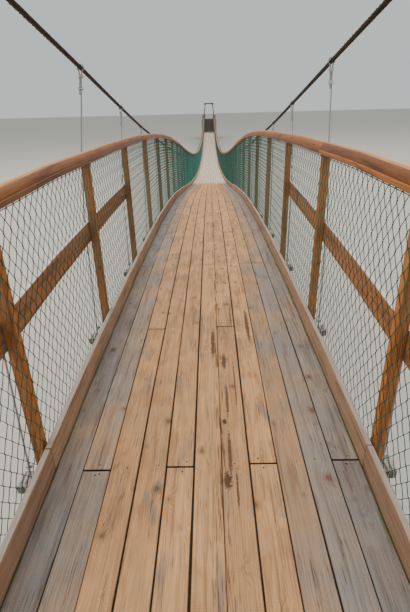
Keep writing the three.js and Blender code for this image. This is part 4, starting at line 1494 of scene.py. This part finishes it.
collars = Skins()
for end, side in corners_of_bridge:
    seat = np.array([side * ANCHOR_SPREAD, end * ANCHOR_FACE, anchor_height])
    along = unit(np.array([side * SADDLE_SPREAD, end * bend_end, bend_end_height]) - seat)
    for start, stop, radius in COLLARS:
        lengths = (stop - start) * COLLAR_STEPS
        tube(collars, seat + along * (start + lengths)[:, None],
             lambda s: ring_of(np.interp(s, lengths, COLLAR_SWELL * radius), 16))
socket_collars = collars.piece("socket_collars", painted_steel, "painted_steel", (), 40)
print("socket collars, triangles", triangles(socket_collars))

# %% [markdown]
# ## Abutments
# Mass concrete, cast against boards. The boards leave fine level ridges, a slightly different grey
# each, and rain leaves dark runs below the edges and moss on top. All edges are cast with a fillet
# strip, which makes a chamfer. Weathered concrete scatters light evenly, so its roughness is 0.92.

# %% Abutments
def concrete_material():
    material, node, shader = new_material("board_marked_concrete")
    place = node("TexCoord").outputs["Object"]
    x, y, z = node("SeparateXYZ", place).outputs
    boards = node("TexBrick", node("CombineXYZ", node("Math ADD", x, y), z), Color1="#a6a298",
                  Color2="#969288", Mortar="#7c7870", Scale=1.0, Mortar_Size=0.0035 * M, Mortar_Smooth=0.6,
                  Brick_Width=2.4 * M, Row_Height=0.14 * M)
    upward = upward_part(node)
    grit = node("TexNoise", place, Scale=26.0 / M, Detail=6.0)
    runs = stretched_noise(node, place, (9.0 / M, 9.0 / M, 0.5 / M), Detail=5.0)
    moss = node("TexNoise", place, Scale=5.5 / M, Detail=6.0)
    mossy = node("Math MULTIPLY", node("MapRange", moss, 0.52, 0.64),
                 node("MapRange", upward, -0.2, 0.9, 0.15, 0.75))
    base = node("Mix", node("MapRange", upward, 0.6, 0.9), boards, "#a19d93")
    base = node("Mix", 1.0, base, node("MapRange", grit, 0.3, 0.7, 0.86, 1.08), **TINT)
    base = node("Mix", node("MapRange", runs, 0.5, 0.72, 0.0, 0.6), base, "#5f5b52")
    relief = node("Math MULTIPLY_ADD", boards.outputs[1], 0.8, grit)
    fill(shader, Base_Color=node("Mix", mossy, base, "#59602f"), Roughness=0.92,
         Normal=node("Bump", Height=relief, Distance=0.003 * M))
    return material


board_marked_concrete = concrete_material()
ABUTMENT_HALF_WIDTH = 1.35
ANCHOR_BLOCK_IN = 0.75
ANCHOR_BLOCK_BACK = 51.2
ANCHOR_BLOCK_RISE = 0.75
FILLET = 0.03

for end_name, end in (("near", -1), ("far", 1)):
    cast = Skins()
    wide = ABUTMENT_HALF_WIDTH
    blocks = [(chamfered(-wide, wide, 0, APPROACH, FILLET), HALF_DECK + 0.003)]
    blocks += [(chamfered(side * ANCHOR_BLOCK_IN, side * wide, APPROACH - 0.05, APPROACH + ANCHOR_BLOCK_RISE,
                          FILLET), ANCHOR_FRONT) for side in SIDES.values()]
    for outline, front in blocks:
        cast.timber(outline, sorted((end * front, end * ANCHOR_BLOCK_BACK)),
                    lambda across, s, up: (across, s, up), chamfer=FILLET)
    abutment = cast.piece(f"cast_abutment_{end_name}", board_marked_concrete, "concrete",
                          (f"abutment_{end_name}",))
    print(abutment.name, "triangles", triangles(abutment))

# %% [markdown]
# ## What was added
# The last cell counts the pieces that were added and their triangles.

# %% Pieces added
added = [o for o in bpy.data.objects if o.type == "MESH" and o is not floor and o.name not in nodes]
print("pieces added", len(added), "triangles", sum(triangles(o) for o in added))
